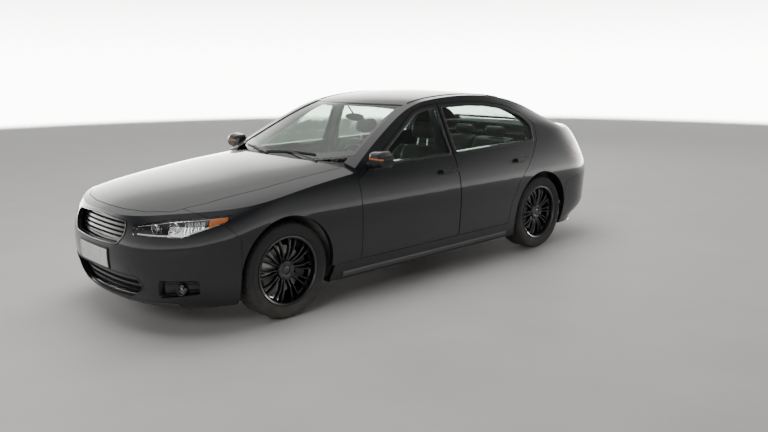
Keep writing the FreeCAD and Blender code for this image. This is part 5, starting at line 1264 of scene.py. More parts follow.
def fog_lamp(name):
    """A fog lamp on the backing plate of its pocket: rim, lens and bulb, looking forward."""
    foot = on_nose("grilles", 0.7, 0.316)
    axis = Vector((1, 0.18, 0)).normalized()
    centre = Vector((foot.x, 0.7, 0.316)) + axis * 0.004
    rim = spun(f"{name}_rim", [
        (0.043, 0.0), (0.043, 0.016), (0.0405, 0.0195), (0.0375, 0.0185), (0.036, 0.014),
        (0.0345, 0.004), (0.02, 0.0015), (CORE, 0.0012), (CORE, 0.0),
    ], centre, axis, 48, 30)
    lens = spun(f"{name}_lens", [
        (CORE, 0.0185), (0.016, 0.0178), (0.028, 0.0155), (0.0352, 0.0125), (0.0352, 0.0105),
        (0.028, 0.0135), (0.016, 0.0158), (CORE, 0.0165),
    ], centre, axis, 48, 30)
    bulb = dome(f"{name}_bulb", centre + axis * 0.006, (0.006, 0.006, 0.006), 16)
    return rim, lens, shaded(bulb, 60)


def plate(name, centre_z, ask, outside, nodes, body):
    """A blank number plate with a raised edge, in its holder, both following the skin."""
    width, tall = bpy.context.scene.sedan_trim.plate
    ask = partial(ask, nodes)
    parts = []
    for tag, margin, lift, thickness in (("holder", 0.009, 0.0006, 0.007),
                                         ("face", 0.0, 0.0078, 0.0016)):
        parts.append(panel(
            f"{name}_{tag}", spread(centre_z - tall / 2 - margin, centre_z + tall / 2 + margin, 6),
            spread(-width / 2 - margin, width / 2 + margin, 25), ask, outside, thickness, 0.0015,
            lift))
    edge = box_outline(-width / 2 + 0.004, width / 2 - 0.004, centre_z - tall / 2 + 0.004,
                       centre_z + tall / 2 - 0.004, 0.01)
    line = laid([tuple(p) for p in edge], lambda y, z: ask(y, z, 0.0094))
    bead = rope(f"{name}_edge", line, 0.0013, sides=2, cyclic=True)
    done(parts[0], "plastic", body)
    done(joined([parts[1], bead], f"{name}_face"), "plate", body)


class SEDAN_OT_nose(bpy.types.Operator):
    """Fill the intakes with slats, edge them, and add fog lamps, lip and front plate"""

    bl_idname = "sedan.nose"
    bl_label = "Nose"

    def execute(self, context):
        upper, lower = partial(nose_outline, UPPER_OUTLINE), partial(nose_outline, LOWER_OUTLINE)
        bumper = partial(on_nose, "front_bumper")
        done(lattice("upper_grille_slats", UPPER_OUTLINE, UPPER_LEVELS, 0.0125, 0.016, 0.0019),
             "grille")
        done(lattice("lower_grille_slats", LOWER_OUTLINE, LOWER_LEVELS, 0.0165, 0.014, 0.0022),
             "grille")
        done(band("upper_grille_surround", upper, 0.0005, 0.0105, 0.0006, 0.0022, (1, 0, 0),
                  bumper, 0.0016), "dark_chrome")
        done(band("lower_intake_edge", lower, 0.0005, 0.0125, 0.0004, 0.0016, (1, 0, 0), bumper,
                  0.0016), "plastic")
        rim, lens, bulb = fog_lamp("fog_lamp_left")
        both(rim, "gloss_black")
        both(lens, "lens")
        both(bulb, "frosted")
        fins = []
        for z in (0.272, 0.295, 0.339, 0.36):
            line = kept(on_nose("grilles", y, z) for y in spread(0.625, 0.79, 12))
            if len(line) > 4:
                fins.append(rope("fin", [p + Vector((0.012, 0.004, 0)) for p in line], 0.0028, 1))
        both(joined(fins, "fog_pocket_fins_left"), "grille")
        done(panel("front_lip", ((0.176, 0.0008), (0.184, 0.003), (0.2, 0.0032),
                                 (0.212, 0.0008)), spread(-0.66, 0.66, 67),
                   partial(on_nose, ("front_bumper", "bonnet")), (1, 0, 0), 0.0022, 0.0008),
             "satin")
        plate("front_plate", 0.47, on_nose, (1, 0, 0), "front_bumper", "body")
        done(panel("front_hook_cover", spread(0.415, 0.452, 5), spread(0.385, 0.422, 5), bumper,
                   (1, 0, 0), 0.0012, 0.0006, 0.0004), "paint")
        return {"FINISHED"}


# Glass edges, mouldings, mirrors and small outside parts

SCREEN_BASE = (0.958, 0.458)
SCREEN_HEAD = (0.126, 0.243)
REAR_HEAD = (-1.164, -0.129)
REAR_BASE = (-1.94, -0.301)
FRONT_WINDOW = [(0.599, 0.969, 0.014), (0.285, 1.151, 0.2), (0.05, 1.288, 0.28),
                (-0.063, 1.312, 0.17), (-0.199, 1.325, 0.009), (-0.199, 0.977, 0.014)]
REAR_WINDOW = [(-0.283, 0.979, 0.014), (-0.283, 1.328, 0.009), (-0.601, 1.331, 0.4),
               (-0.841, 1.317, 0.35), (-1.088, 1.276, 0.2), (-1.274, 1.201, 0.11),
               (-1.359, 1.122, 0.02), (-1.323, 1.001, 0.014)]


def bowed(line, y):
    """The x of a bowed line across the cabin at y."""
    return line[0] - line[1] * y * y


def glass_half(x):
    """Half the width of the glasshouse's top at x, less the seal."""
    shares = [(0.43, 0.87), (0.33, 0.813), (0.24, 0.741), (0.14, 0.671), (0.045, 0.611),
              (-0.08, 0.589), (-0.21, 0.588), (-0.35, 0.596), (-0.48, 0.611),
              (-0.62, 0.661), (-0.74, 0.718), (-0.86, 0.752)]
    line = sorted((a * 2.425, b * 0.92) for a, b in shares)
    return between(line, x)


def glass_point(base, head, share, across, inset=0.0):
    """The plan point of a screen: share 0 at its base, 1 at its head; across from -1 to 1."""
    y = across * 0.6
    for _ in range(6):
        x = bowed(base, y) * (1 - share) + bowed(head, y) * share
        y = across * (glass_half(x) - 0.004 - inset)
    return x, y


def frit(node, base, head, low, high, side):
    """The black border printed round a screen."""
    length = abs(base[0] - head[0])
    rim, foot, top = 0.006 / length, low / length, 1 - high / length
    steps, ups = spread(-1, 1, 48), spread(0, 1, 24)
    rise = 1 - (low + high) / length
    path = [((rim, a), (foot, a)) for a in steps]
    path += [((rim + (1 - 2 * rim) * s, 1), (foot + rise * s, 1)) for s in ups[1:]]
    path += [((1 - rim, a), (top, a)) for a in reversed(steps[:-1])]
    path += [((rim + (1 - 2 * rim) * s, -1), (foot + rise * s, -1)) for s in reversed(ups[1:-1])]
    rows = [[], [], []]
    for outer, inner in path:
        first = on_top(node, *glass_point(base, head, *outer, 0.004), 0.0004)
        last = on_top(node, *glass_point(base, head, *inner, side), 0.0004)
        if first is not None and last is not None:
            for row, spot in zip(rows, (first, (first + last) / 2, last)):
                row.append(spot)
    piece = skin(f"{node}_border", rows, (0.5 if base[0] > 0 else -0.5, 0, 1), 0.0005, cyclic=True)
    done(piece, "gloss_black")


def side_patch(name, nodes, corners, lift, thickness, edge=0.0):
    """A flat-cut sheet on the side, within four corners (x, z) in ring order."""
    a, b, c, d = [Vector(corner) for corner in corners]
    rows = []
    for r in range(9):
        start, end = a.lerp(d, r / 8), b.lerp(c, r / 8)
        line = [tuple(start.lerp(end, k / 8)) for k in range(9)]
        rows.append(laid(line, lambda x, z: on_side(nodes, x, z, lift)))
    return skin(name, rows, (0, 1, 0), thickness, edge=edge)


def wiper(name, foot, tip_a, tip_b):
    """An arm from its spindle to a blade that lies on the screen."""
    base = on_top("cowl_panel", *foot) or Vector((*foot, 0.965))
    spindle = barrel("spindle", base - Vector((0, 0, 0.006)), base + Vector((0, 0, 0.022)), 0.011,
                     24, 0.009)
    parts = [rounded(spindle, 0.002, 2)]
    blade = kept(on_top("windscreen", x, y) for x, y in zip(spread(tip_a[0], tip_b[0], 25),
                                                            spread(tip_a[1], tip_b[1], 25)))
    normal = Vector((0.45, 0, 0.9)).normalized()
    parts.append(rope("lip", [p + normal * 0.004 for p in blade], 0.0022, 1))
    parts.append(rope("spine", [p + normal * 0.0095 for p in blade], 0.0048, 2))
    middle = blade[len(blade) // 2] + normal * 0.014
    start = base + Vector((0, 0, 0.018))
    bend = start.lerp(middle, 0.45) + normal * 0.006
    points = [start * (1 - t) ** 2 + bend * (2 * t * (1 - t)) + middle * t ** 2
              for t in spread(0, 1, 17)]
    parts.append(rope("arm", points, 0.0052, 2))
    parts.append(soft_block("clip", middle - normal * 0.002, (0.016, 0.04, 0.01), 0.002, 2,
                            (0, 0.45, 0)))
    done(shaded(joined(parts, name), 40), "plastic")


class SEDAN_OT_glass_edges(bpy.types.Operator):
    """Black borders on the screens, mouldings round the side windows, pillar covers"""

    bl_idname = "sedan.glass_edges"
    bl_label = "Glass edges"

    def execute(self, context):
        frit("windscreen", SCREEN_BASE, SCREEN_HEAD, 0.085, 0.04, 0.032)
        frit("rear_window", REAR_BASE, REAR_HEAD, 0.075, 0.035, 0.034)
        for end, corners in (("front", FRONT_WINDOW), ("rear", REAR_WINDOW)):
            outline, ask = partial(round_outline, corners), partial(on_side, f"door_{end}_left")
            for tag, look, inner, outer, lift, thickness in (
                    ("seal", "rubber", 0.0004, 0.0065, 0.0003, 0.0016),
                    ("moulding", "dark_chrome", 0.0072, 0.0165, 0.0005, 0.0022)):
                both(band(f"{end}_window_{tag}_left", outline, inner, outer, lift, thickness,
                          (0, 1, 0), ask, 0.0014), look, DOOR[end])
        for end, x0, x1, z0, z1 in (("front", -0.2165, -0.233, 0.968, 1.33),
                                    ("rear", -0.2485, -0.2655, 0.97, 1.334)):
            both(side_patch(f"{end}_pillar_cover_left", f"door_{end}_left",
                            [(x0, z0), (x1, z0), (x1, z1), (x0, z1)], 0.0006, 0.002, 0.0006),
                 "gloss_black", DOOR[end])
        for side, sign in SIDES:
            line = kept(on_top(("roof_panel", f"body_side_{side}"), x,
                               sign * (glass_half(x) + 0.0005)) for x in spread(0.02, -1.12, 60))
            strip = rope(f"roof_seam_{side}", [p + Vector((0, 0, 0.0012)) for p in line], 0.0042, 2)
            done(strip, "rubber")
        return {"FINISHED"}


class SEDAN_OT_outside(bpy.types.Operator):
    """Wipers, mirror glass and repeaters, lock, fuel flap, sill strips, tail trim and plates"""

    bl_idname = "sedan.outside"
    bl_label = "Outside trim"

    def execute(self, context):
        wiper("wiper_left", (0.925, 0.52), (0.835, 0.4), (0.905, -0.2))
        wiper("wiper_right", (0.965, -0.06), (0.893, -0.24), (0.79, -0.6))
        outline = [(u * 0.19 * 0.86 + 0.952, v * 0.138 * 0.84 + 1.015, r * 0.1) for u, v, r in
                   [(-0.5, -0.3, 0.14), (-0.47, 0.42, 0.2), (0.26, 0.5, 0.3),
                    (0.5, 0.22, 0.24), (0.47, -0.32, 0.22), (-0.1, -0.5, 0.3)]]
        line = round_outline(outline, 0.0, 0.006)
        depth = hit("mirror_left", (0.0, 0.95, 1.015), (1, 0, 0))[0].x
        glass = from_points("mirror_glass_left", [(depth - 0.0028, p.x, p.y) for p in line],
                            [tuple(range(len(line)))])
        if glass.data.polygons[0].normal.x > 0:
            glass.data.flip_normals()
        modified(glass, "SOLIDIFY", thickness=0.0022, offset=-1.0)
        both(shaded(rounded(glass, 0.0008, 1, 0.9), 30), "mirror", DOOR["front"])
        both(panel("mirror_repeater_left", spread(1.022, 1.031, 4), spread(0.885, 1.03, 26),
                   partial(on_nose, "mirror_left"), (1, 0.3, 0), 0.0016, 0.0006, 0.0002),
             "amber_lens", DOOR["front"])
        lock = spun("door_lock_left", [(CORE, 0.0016), (0.0075, 0.0014), (0.0088, 0.0004),
                                       (0.0088, -0.001), (CORE, -0.001)],
                    on_side("door_front_left", -0.185, 0.845), (0, 1, 0), 32, 30)
        done(lock, "dark_chrome", "front_door_left")
        # Painted shade: the fuel flap's gap is a thin dark strip laid on the right side's skin,
        # where the real gap is only shade.
        flap = [(-1.56, 0.815, 0.02), (-1.4, 0.815, 0.02), (-1.4, 0.955, 0.02),
                (-1.56, 0.955, 0.02)]
        done(band("fuel_flap_gap", partial(round_outline, flap), 0.0, 0.0036, 0.0002, 0.0005,
                  (0, -1, 0), lambda x, z, lift: on_side("body_side_right", x, z, lift, -1)),
             "rubber")
        for side, sign in SIDES:
            done(panel(f"sill_strip_{side}", ((0.186, 0.0006), (0.194, 0.0034), (0.222, 0.0034),
                                              (0.23, 0.0006)), spread(0.98, -0.9, 80),
                       lambda x, z, lift: on_side(f"body_side_{side}", x, z, lift, sign),
                       (0, sign, 0), 0.002, 0.0006), "satin")
        plate("rear_plate", 0.782, on_tail, (-1, 0, 0), "boot_lid", "boot")
        done(panel("lid_garnish", ((0.866, 0.0006), (0.872, 0.006), (0.884, 0.0075),
                                   (0.894, 0.006), (0.899, 0.0006)), spread(-0.37, 0.37, 61),
                   partial(on_tail, "boot_lid"), (-1, 0, 0), 0.002, 0.0006), "dark_chrome",
             "boot")
        bumper = partial(on_tail, "rear_bumper")
        done(panel("rear_lower_panel", ((0.2, 0.0006), (0.21, 0.003), (0.3, 0.003),
                                        (0.312, 0.0006)), spread(-0.3, 0.3, 41), bumper,
                   (-1, 0, 0), 0.002, 0.0006), "plastic")
        both(panel("rear_reflector_left", (0.452, 0.466, 0.48), spread(0.56, 0.76, 20), bumper,
                   (-1, 0.3, 0), 0.0022, 0.0008, 0.0004), "red_lens")
        return {"FINISHED"}


# Seats: padded covers inflated by a short cloth simulation

CLOTH_STEPS = 20
COVER_CLOTH = {"quality": 4, "mass": 0.3, "tension_stiffness": 18, "compression_stiffness": 12,
               "shear_stiffness": 6, "bending_stiffness": 1.5}


def inflated(piece, voxel, pressure, cap):
    """A plain pad remeshed, swollen by cloth pressure, capped, and subdivided once."""
    modified(piece, "REMESH", mode="VOXEL", voxel_size=voxel, use_smooth_shade=True)
    before = [v.co.copy() for v in piece.data.vertices]
    pick(piece)
    step = piece.modifiers.new("Cover", "CLOTH")
    rules = step.settings
    rules.use_pressure = True
    rules.uniform_pressure_force = pressure
    for key, value in COVER_CLOTH.items():
        setattr(rules, key, value)
    rules.effector_weights.gravity = 0
    step.collision_settings.use_collision = False
    step.point_cache.frame_start = 1
    step.point_cache.frame_end = CLOTH_STEPS
    scene = bpy.context.scene
    for frame_number in range(1, CLOTH_STEPS + 1):
        scene.frame_set(frame_number)
    pick(piece)
    bpy.ops.object.modifier_apply(modifier=step.name)
    scene.frame_set(1)
    for vertex, start in zip(piece.data.vertices, before):
        moved = vertex.co - start
        if moved.length > cap:
            vertex.co = start + moved * (cap / moved.length)
    return modified(piece, "SUBSURF", levels=1, render_levels=1)


def side_pad(name, corners, low, high, pinch=0.012):
    """A pad with a side-view outline, run across from low to high, its ends drawn in."""
    line = round_outline(corners, 0.0, 0.02)
    middle = sum(line, Vector((0, 0))) / len(line)
    loops = []
    for y in spread(low, high, 13):
        draw = pinch * abs(2 * (y - low) / (high - low) - 1) ** 6
        spots = [middle + (p - middle) * (1 - draw / max((p - middle).length, 0.01)) for p in line]
        loops.append([(spot.x, y, spot.y) for spot in spots])
    return outward(hull(name, loops), merge=False)


def channels(piece, lines, depth, width):
    """Sewn channels: points near each line (test, level) are drawn in along their normals."""
    normals = [vertex.normal.copy() for vertex in piece.data.vertices]
    for vertex, normal in zip(piece.data.vertices, normals):
        sink = max(math.exp(-(reach(vertex.co) / width) ** 2) for reach in lines)
        if sink > 0.01:
            vertex.co -= normal * (sink * depth)
    return piece


def padded_part(name, corners, low, high, lines=(), cap=0.01, pinch=0.012, voxel=0.013):
    """A finished cushion on the car's body."""
    piece = inflated(side_pad(name, corners, low, high, pinch), voxel, 4.0, cap)
    if lines:
        channels(piece, lines, 0.006, 0.007)
    done(shaded(piece, 60), "leather")
    return piece


def mirror_pad(piece, name):
    """The same cushion on the car's other side."""
    other = shaded(copied(piece, name, mirror=True), 60)
    done(other, "leather")


def cross_lines(points, way):
    """Channels across the seat where it passes side-view lines through the points."""
    normal = Vector((way[1], -way[0])).normalized()
    return [lambda co, x=x, z=z: abs((co.x - x) * normal.x + (co.z - z) * normal.y)
            for x, z in points]


def front_seat():
    """Cushion, back, side bolsters and head rest of the left front seat."""
    middle = SEAT_MIDDLE
    cushion = [(0.352, 0.375, 0.03), (0.366, 0.462, 0.045), (0.3, 0.488, 0.05),
               (-0.01, 0.462, 0.06), (-0.075, 0.44, 0.05), (-0.075, 0.372, 0.04)]
    bolster = [(0.33, 0.372, 0.03), (0.34, 0.47, 0.045), (0.29, 0.508, 0.045),
               (-0.02, 0.492, 0.06), (-0.105, 0.465, 0.04), (-0.1, 0.37, 0.04)]
    back = [(-0.01, 0.492, 0.045), (-0.085, 0.505, 0.04), (-0.345, 0.995, 0.04),
            (-0.318, 1.018, 0.03), (-0.258, 0.992, 0.045), (-0.075, 0.7, 0.3)]
    wing = [(0.015, 0.5, 0.04), (-0.095, 0.5, 0.04), (-0.35, 0.975, 0.04),
            (-0.315, 1.0, 0.03), (-0.232, 0.955, 0.06), (-0.04, 0.7, 0.25)]
    rest = [(-0.322, 1.052, 0.025), (-0.31, 1.135, 0.03), (-0.338, 1.192, 0.03),
            (-0.388, 1.196, 0.03), (-0.418, 1.13, 0.035), (-0.402, 1.06, 0.025)]
    folds = cross_lines(((0.205, 0.47), (0.095, 0.46)), (0.1, 1))
    seams = cross_lines(((-0.115, 0.66), (-0.165, 0.775), (-0.215, 0.885)), (1, 0.42))
    pads = [padded_part(f"front_{tag}_left", outline, middle + low, middle + high, lines, cap,
                        pinch=pinch)
            for tag, outline, low, high, lines, cap, pinch in (
                ("cushion", cushion, -0.165, 0.165, folds, 0.01, 0.012),
                ("cushion_inner_bolster", bolster, -0.246, -0.168, (), 0.008, 0.012),
                ("cushion_outer_bolster", bolster, 0.168, 0.246, (), 0.008, 0.012),
                ("back", back, -0.15, 0.15, seams, 0.01, 0.012),
                ("back_inner_wing", wing, -0.24, -0.153, (), 0.008, 0.012),
                ("back_outer_wing", wing, 0.153, 0.24, (), 0.008, 0.012),
                ("head_rest", rest, -0.118, 0.118, (), 0.01, 0.02))]
    for pad in pads:
        mirror_pad(pad, pad.name.replace("left", "right"))
    shell = [(-0.075, 0.47, 0.03), (-0.1, 0.455, 0.03), (-0.372, 0.96, 0.03),
             (-0.362, 0.985, 0.012), (-0.345, 0.96, 0.02)]
    base = [(0.335, 0.3, 0.02), (0.345, 0.366, 0.012), (-0.09, 0.362, 0.012), (-0.095, 0.3, 0.02)]
    for tag, outline, half, pinch in (("shell", shell, 0.215, 0.006), ("base", base, 0.225, 0.01)):
        part = side_pad(f"front_seat_{tag}_left", outline, middle - half, middle + half, pinch)
        both(rounded(part, 0.004, 2), "cabin")
    rails = []
    for y in (middle - 0.19, middle + 0.19):
        rails.append(soft_block("rail", (0.1, y, 0.24), (0.44, 0.04, 0.032), 0.003, 1))
        for x in (-0.06, 0.26):
            rails.append(soft_block("leg", (x, y, 0.278), (0.06, 0.02, 0.05), 0.002, 1))
    both(joined(rails, "front_seat_rails_left"), "steel")
    posts = [barrel("post", (-0.345, y, 0.985), (-0.362, y, 1.075), 0.006, 16)
             for y in (middle - 0.055, middle + 0.055)]
    both(shaded(joined(posts, "head_rest_posts_left"), 40), "chrome")
    return pads[0]


def rear_bench():
    """The rear cushion in three places, its back, and three head rests."""
    cushion = [(-0.57, 0.362, 0.04), (-0.565, 0.452, 0.05), (-0.62, 0.478, 0.05),
               (-0.98, 0.452, 0.08), (-1.06, 0.44, 0.04), (-1.06, 0.436, 0.03),
               (-0.89, 0.436, 0.02), (-0.89, 0.362, 0.03)]
    back = [(-1.052, 0.47, 0.05), (-1.12, 0.452, 0.03), (-1.255, 0.72, 0.3),
            (-1.375, 0.99, 0.03), (-1.345, 1.008, 0.02), (-1.275, 0.992, 0.04),
            (-1.135, 0.72, 0.35)]
    rest = [(-1.29, 1.005, 0.02), (-1.282, 1.078, 0.03), (-1.318, 1.102, 0.02),
            (-1.352, 1.086, 0.03), (-1.356, 1.012, 0.02)]
    seams = cross_lines(((-1.128, 0.64), (-1.175, 0.76), (-1.225, 0.88)), (1, 0.45))
    folds = cross_lines(((-0.72, 0.46), (-0.86, 0.455)), (0.1, 1))
    pads = []
    for tag, low, high in (("left", 0.158, 0.604), ("middle", -0.154, 0.154)):
        pads.append(padded_part(f"rear_cushion_{tag}", cushion, low, high, folds))
        pads.append(padded_part(f"rear_back_{tag}", back, low, high, seams))
    for tag, place in (("left", 0.386), ("middle", 0.0)):
        pads.append(padded_part(f"rear_head_rest_{tag}", rest, place - 0.112, place + 0.112,
                                cap=0.008, pinch=0.018))
    for pad in pads:
        if pad.name.endswith("left"):
            mirror_pad(pad, pad.name.replace("left", "right"))
    done(soft_block("rear_seat_base", (-0.735, 0, 0.3), (0.3, 1.18, 0.118), 0.01), "felt")
    return pads[0]


class SEDAN_OT_seats(bpy.types.Operator):
    """Replace the CAD seats by padded covers, shells, rails and head rests"""

    bl_idname = "sedan.seats"
    bl_label = "Seats"

    def execute(self, context):
        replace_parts(front_seat(), "front_seats")
        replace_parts(rear_bench(), "rear_seat")
        return {"FINISHED"}


# Cabin: dashboard details, wheel, console, door cards, lining and carpets

def inner_side(nodes, x, z, inset=0.0):
    """The point of a node's cabin-side face on the left at x and z, moved inwards."""
    return met(nodes, (x, 0.0, z), (0, 1, 0), move=(0, -inset, 0))


def under(nodes, x, y, drop=0.0, start=0.7):
    """The underside of a node above the point x, y, moved down."""
    return met(nodes, (x, y, start), (0, 0, 1), move=(0, 0, -drop))


def floor_at(nodes, x, y, lift=0.0, start=0.45):
    """The upper face below a start height, lifted."""
    return met(nodes, (x, y, start), (0, 0, -1), move=(0, 0, lift))


def dash_face(y, z, lift=0.0):
    """The dashboard's face towards the seats."""
    return met("dashboard", (-0.3, y, z), (1, 0, 0), move=(-lift, 0, 0))


def vent(y, z, width, tall):
    """An air vent: a frame with blades and a middle tab."""
    depth = dash_face(y, z).x
    outline = box_outline(y - width / 2, y + width / 2, z - tall / 2, z + tall / 2, 0.01, 0.006)
    parts = [rope("frame", [(depth - 0.004, p.x, p.y) for p in outline], 0.0035, 1, cyclic=True)]
    for k in range(5):
        level = z - tall / 2 + tall * (k + 0.5) / 5
        parts.append(soft_block("blade", (depth - 0.002, y, level),
                                (0.012, width - 0.008, 0.0016), 0.0004, 1, (0, 0.3, 0)))
    parts.append(soft_block("tab", (depth - 0.009, y, z), (0.01, 0.014, 0.008), 0.002))
    return joined(parts, "vent")


def screen_panel(name, y, z, width, tall, lift, look):
    """A glossy screen in a slim case, standing on the dashboard's face."""
    x = dash_face(y, z).x
    case = soft_block(f"{name}_case", (x - lift / 2 - 0.004, y, z), (lift + 0.008, width, tall),
                      0.006, 3, (0, -0.1, 0))
    glass = soft_block(name, (x - lift - 0.0095, y, z), (0.0022, width - 0.014, tall - 0.014),
                       0.0008, 1, (0, -0.1, 0))
    done(shaded(case), look)
    done(shaded(glass), "screen")


WHEEL_MIDDLE = Vector((0.347, SEAT_MIDDLE, 0.88))
WHEEL_AXIS = Vector((-math.cos(math.radians(24)), 0, math.sin(math.radians(24))))


def on_wheel(right, up, forward=0.0):
    """A point in the steering wheel's plane: to the driver's right, up, and towards them."""
    rise = WHEEL_AXIS.cross(Vector((0, 1, 0)))
    if rise.z < 0:
        rise = -rise
    return WHEEL_MIDDLE + Vector((0, -right, 0)) + rise * up + WHEEL_AXIS * forward


def hand_wheel():
    """Leather rim with seams, air bag cover, spokes with switch pads, and hub."""
    ring = spun("wheel_rim", [
        (0.186 + 0.0158 * math.cos(a) * (1.0 - 0.12 * math.sin(a)), 0.0158 * math.sin(a))
        for a in [FULL_TURN * k / 20 for k in range(20)]], WHEEL_MIDDLE, WHEEL_AXIS, 96, 60)
    stitches = []
    for k in range(72):
        angle = FULL_TURN * k / 72
        spot = on_wheel(0.1712 * math.cos(angle), 0.1712 * math.sin(angle), 0.0035)
        ahead = on_wheel(0.1712 * math.cos(angle + 0.045), 0.1712 * math.sin(angle + 0.045),
                         -0.0035)
        stitches.append(rope("stitch", [spot, spot.lerp(ahead, 0.5), ahead], 0.0009, 0))
    seam = joined(stitches, "wheel_seam")
    shape = round_outline([(-0.078, 0.045, 0.03), (0.078, 0.045, 0.03), (0.062, -0.06, 0.04),
                           (-0.062, -0.06, 0.04)], 0, 0.006)
    layers = []
    for grow, lift in ((0.0, -0.026), (0.004, 0.004), (0.0, 0.014), (-0.012, 0.021),
                       (-0.034, 0.0245)):
        share = 1 + grow / 0.06
        layers.append([on_wheel(p.x * share, p.y * share, lift) for p in shape])
    cover = shaded(outward(hull("air_bag_cover", layers)), 50)
    spokes = []
    for start, end, wide in (((0.05, 0.012), (0.18, 0.004), 0.02),
                             ((-0.05, 0.012), (-0.18, 0.004), 0.02),
                             ((0.022, -0.04), (0.052, -0.178), 0.013),
                             ((-0.022, -0.04), (-0.052, -0.178), 0.013)):
        a, b = on_wheel(*start, -0.006), on_wheel(*end, -0.002)
        side = (b - a).normalized().cross(WHEEL_AXIS).normalized()
        shape = []
        for share in spread(0, 1, 7):
            middle = a.lerp(b, share) + WHEEL_AXIS * (0.006 * math.sin(math.pi * share))
            half = wide * (1.15 - 0.45 * math.sin(math.pi * share))
            shape.append([middle + side * half, middle + side * half * 0.6 + WHEEL_AXIS * 0.006,
                          middle - side * half * 0.6 + WHEEL_AXIS * 0.006,
                          middle - side * half])
        spokes.append(skin("spoke", shape, WHEEL_AXIS, 0.004, edge=0.001))
    pads = []
    for side in (-1, 1):
        for k in range(3):
            middle = on_wheel(side * (0.098 + 0.018 * k), 0.013, 0.0105)
            pad = barrel("pad", middle - WHEEL_AXIS * 0.004, middle + WHEEL_AXIS * 0.0035, 0.0068,
                         20)
            pads.append(rounded(pad, 0.0012, 2))
    for part, look, slot in ((ring, "leather", "seat"), (seam, "thread", "seat"),
                             (cover, "cabin_soft", "cabin_plastic"),
                             (joined(spokes, "wheel_spokes"), "satin", "cabin_plastic"),
                             (joined(pads, "wheel_switches"), "gloss_black", "cabin_plastic")):
        done(part, look, "hand_wheel")
    hub = barrel("wheel_hub", WHEEL_MIDDLE - WHEEL_AXIS * 0.09, WHEEL_MIDDLE - WHEEL_AXIS * 0.012,
                 0.03, 32, 0.04)
    done(shaded(rounded(hub, 0.003, 2), 40), "cabin", "hand_wheel",
         ["steering_wheel"])


class SEDAN_OT_cabin(bpy.types.Operator):
    """Dashboard screens and vents, steering wheel, console, pedals and mirror"""

    bl_idname = "sedan.cabin"
    bl_label = "Cabin"

    def execute(self, context):
        hand_wheel()
        screen_panel("centre_screen", 0.0, 0.885, 0.25, 0.098, 0.008, "gloss_black")
        screen_panel("gauge_screen", SEAT_MIDDLE, 0.888, 0.3, 0.078, 0.012, "cabin")
        vents = [vent(*sizes) for sizes in (
            (0.075, 0.8, 0.11, 0.046), (-0.075, 0.8, 0.11, 0.046),
            (0.655, 0.862, 0.1, 0.052), (-0.655, 0.862, 0.1, 0.052))]
        done(joined(vents, "dash_vents"), "cabin")
        knobs = []
        for y, radius in ((0.068, 0.017), (-0.068, 0.017), (0.0, 0.011)):
            spot = dash_face(y, 0.742)
            knob = barrel("knob", spot + Vector((0.002, 0, 0)), spot - Vector((0.02, 0, 0)),
                          radius, 32, radius * 0.93)
            knobs.append(rounded(knob, 0.0015, 2))
        done(shaded(joined(knobs, "climate_knobs"), 40), "dark_chrome")
        done(panel("glove_box_lid", spread(0.69, 0.79, 5), spread(-0.57, -0.2, 13), dash_face,
                   (-1, 0, 0), 0.003, 0.0012), "cabin")
        done(panel("dash_inlay", spread(0.822, 0.838, 3), spread(-0.59, -0.15, 25), dash_face,
                   (-1, 0, 0), 0.0022, 0.0008), "satin")
        level = floor_at("dashboard", 0.3, 0.0, 0.0, 0.66).z
        done(soft_block("shift_plate", (0.3, 0, level + 0.003), (0.26, 0.13, 0.006), 0.002),
             "gloss_black")
        done(spun("shift_boot", [
            (CORE, 0.0), (0.04, 0.0), (0.041, 0.004), (0.03, 0.016), (0.026, 0.022),
            (0.019, 0.034), (0.017, 0.04), (0.01, 0.052), (CORE, 0.054),
        ], (0.335, 0, level + 0.005), (0, 0, 1), 40, 60), "leather")
        stem = barrel("stem", (0.335, 0, level + 0.05), (0.332, 0, level + 0.1), 0.0065, 20)
        knob = dome("knob", (0.331, 0, level + 0.118), (0.024, 0.023, 0.026), 32)
        done(shaded(joined([stem, knob], "shift_lever"), 50), "dark_chrome")
        cups = [spun("cup", [
            (0.037, 0.0), (0.041, 0.0), (0.042, 0.0025), (0.0405, 0.0042), (0.0365, 0.0035),
            (0.0355, 0.001)], (x, 0, level + 0.004), (0, 0, 1)) for x in (0.215, 0.125)]
        done(shaded(joined(cups, "cup_rings"), 40), "dark_chrome")
        padded_part("console_arm_rest", [
            (0.06, level + 0.006, 0.015), (0.06, level + 0.052, 0.02),
            (-0.1, level + 0.056, 0.02), (-0.102, level + 0.006, 0.015)],
            -0.07, 0.07, cap=0.005, pinch=0.006, voxel=0.008)
        pedals = []
        for y, tall, wide, low in ((0.3, 0.11, 0.052, 0.31), (0.4, 0.062, 0.082, 0.345)):
            pedals.append(soft_block("pad", (0.77, y, low + tall / 2), (0.01, wide, tall), 0.003,
                                     2, (0, 0.45, 0)))
            pedals.append(barrel("arm", (0.778, y, low + tall / 2), (0.9, y, 0.52), 0.007, 12))
        done(shaded(joined(pedals, "pedals"), 40), "plastic")
        top = on_top("windscreen", 0.175, 0.0).z
        middle = Vector((0.1, 0.0, top - 0.1))
        case = dome("rear_view_mirror", middle, (0.018, 0.118, 0.032), 32)
        stem = barrel("stem", middle + Vector((0.006, 0, 0.02)), Vector((0.165, 0, top - 0.01)),
                      0.007, 16)
        done(shaded(joined([case, stem], "rear_view_mirror"), 50), "cabin")
        face = spun("rear_view_glass", [(CORE, 0.0), (0.03, 0.0), (0.031, 0.0015),
                                        (CORE, 0.002)], middle - Vector((0.0165, 0, 0)),
                    (-1, 0, 0), 48)
        face.data.transform(Matrix.Translation(middle) @ Matrix.Diagonal(
            (1, 3.4, 0.88, 1)) @ Matrix.Translation(-middle))
        done(shaded(face, 30), "mirror")
        return {"FINISHED"}


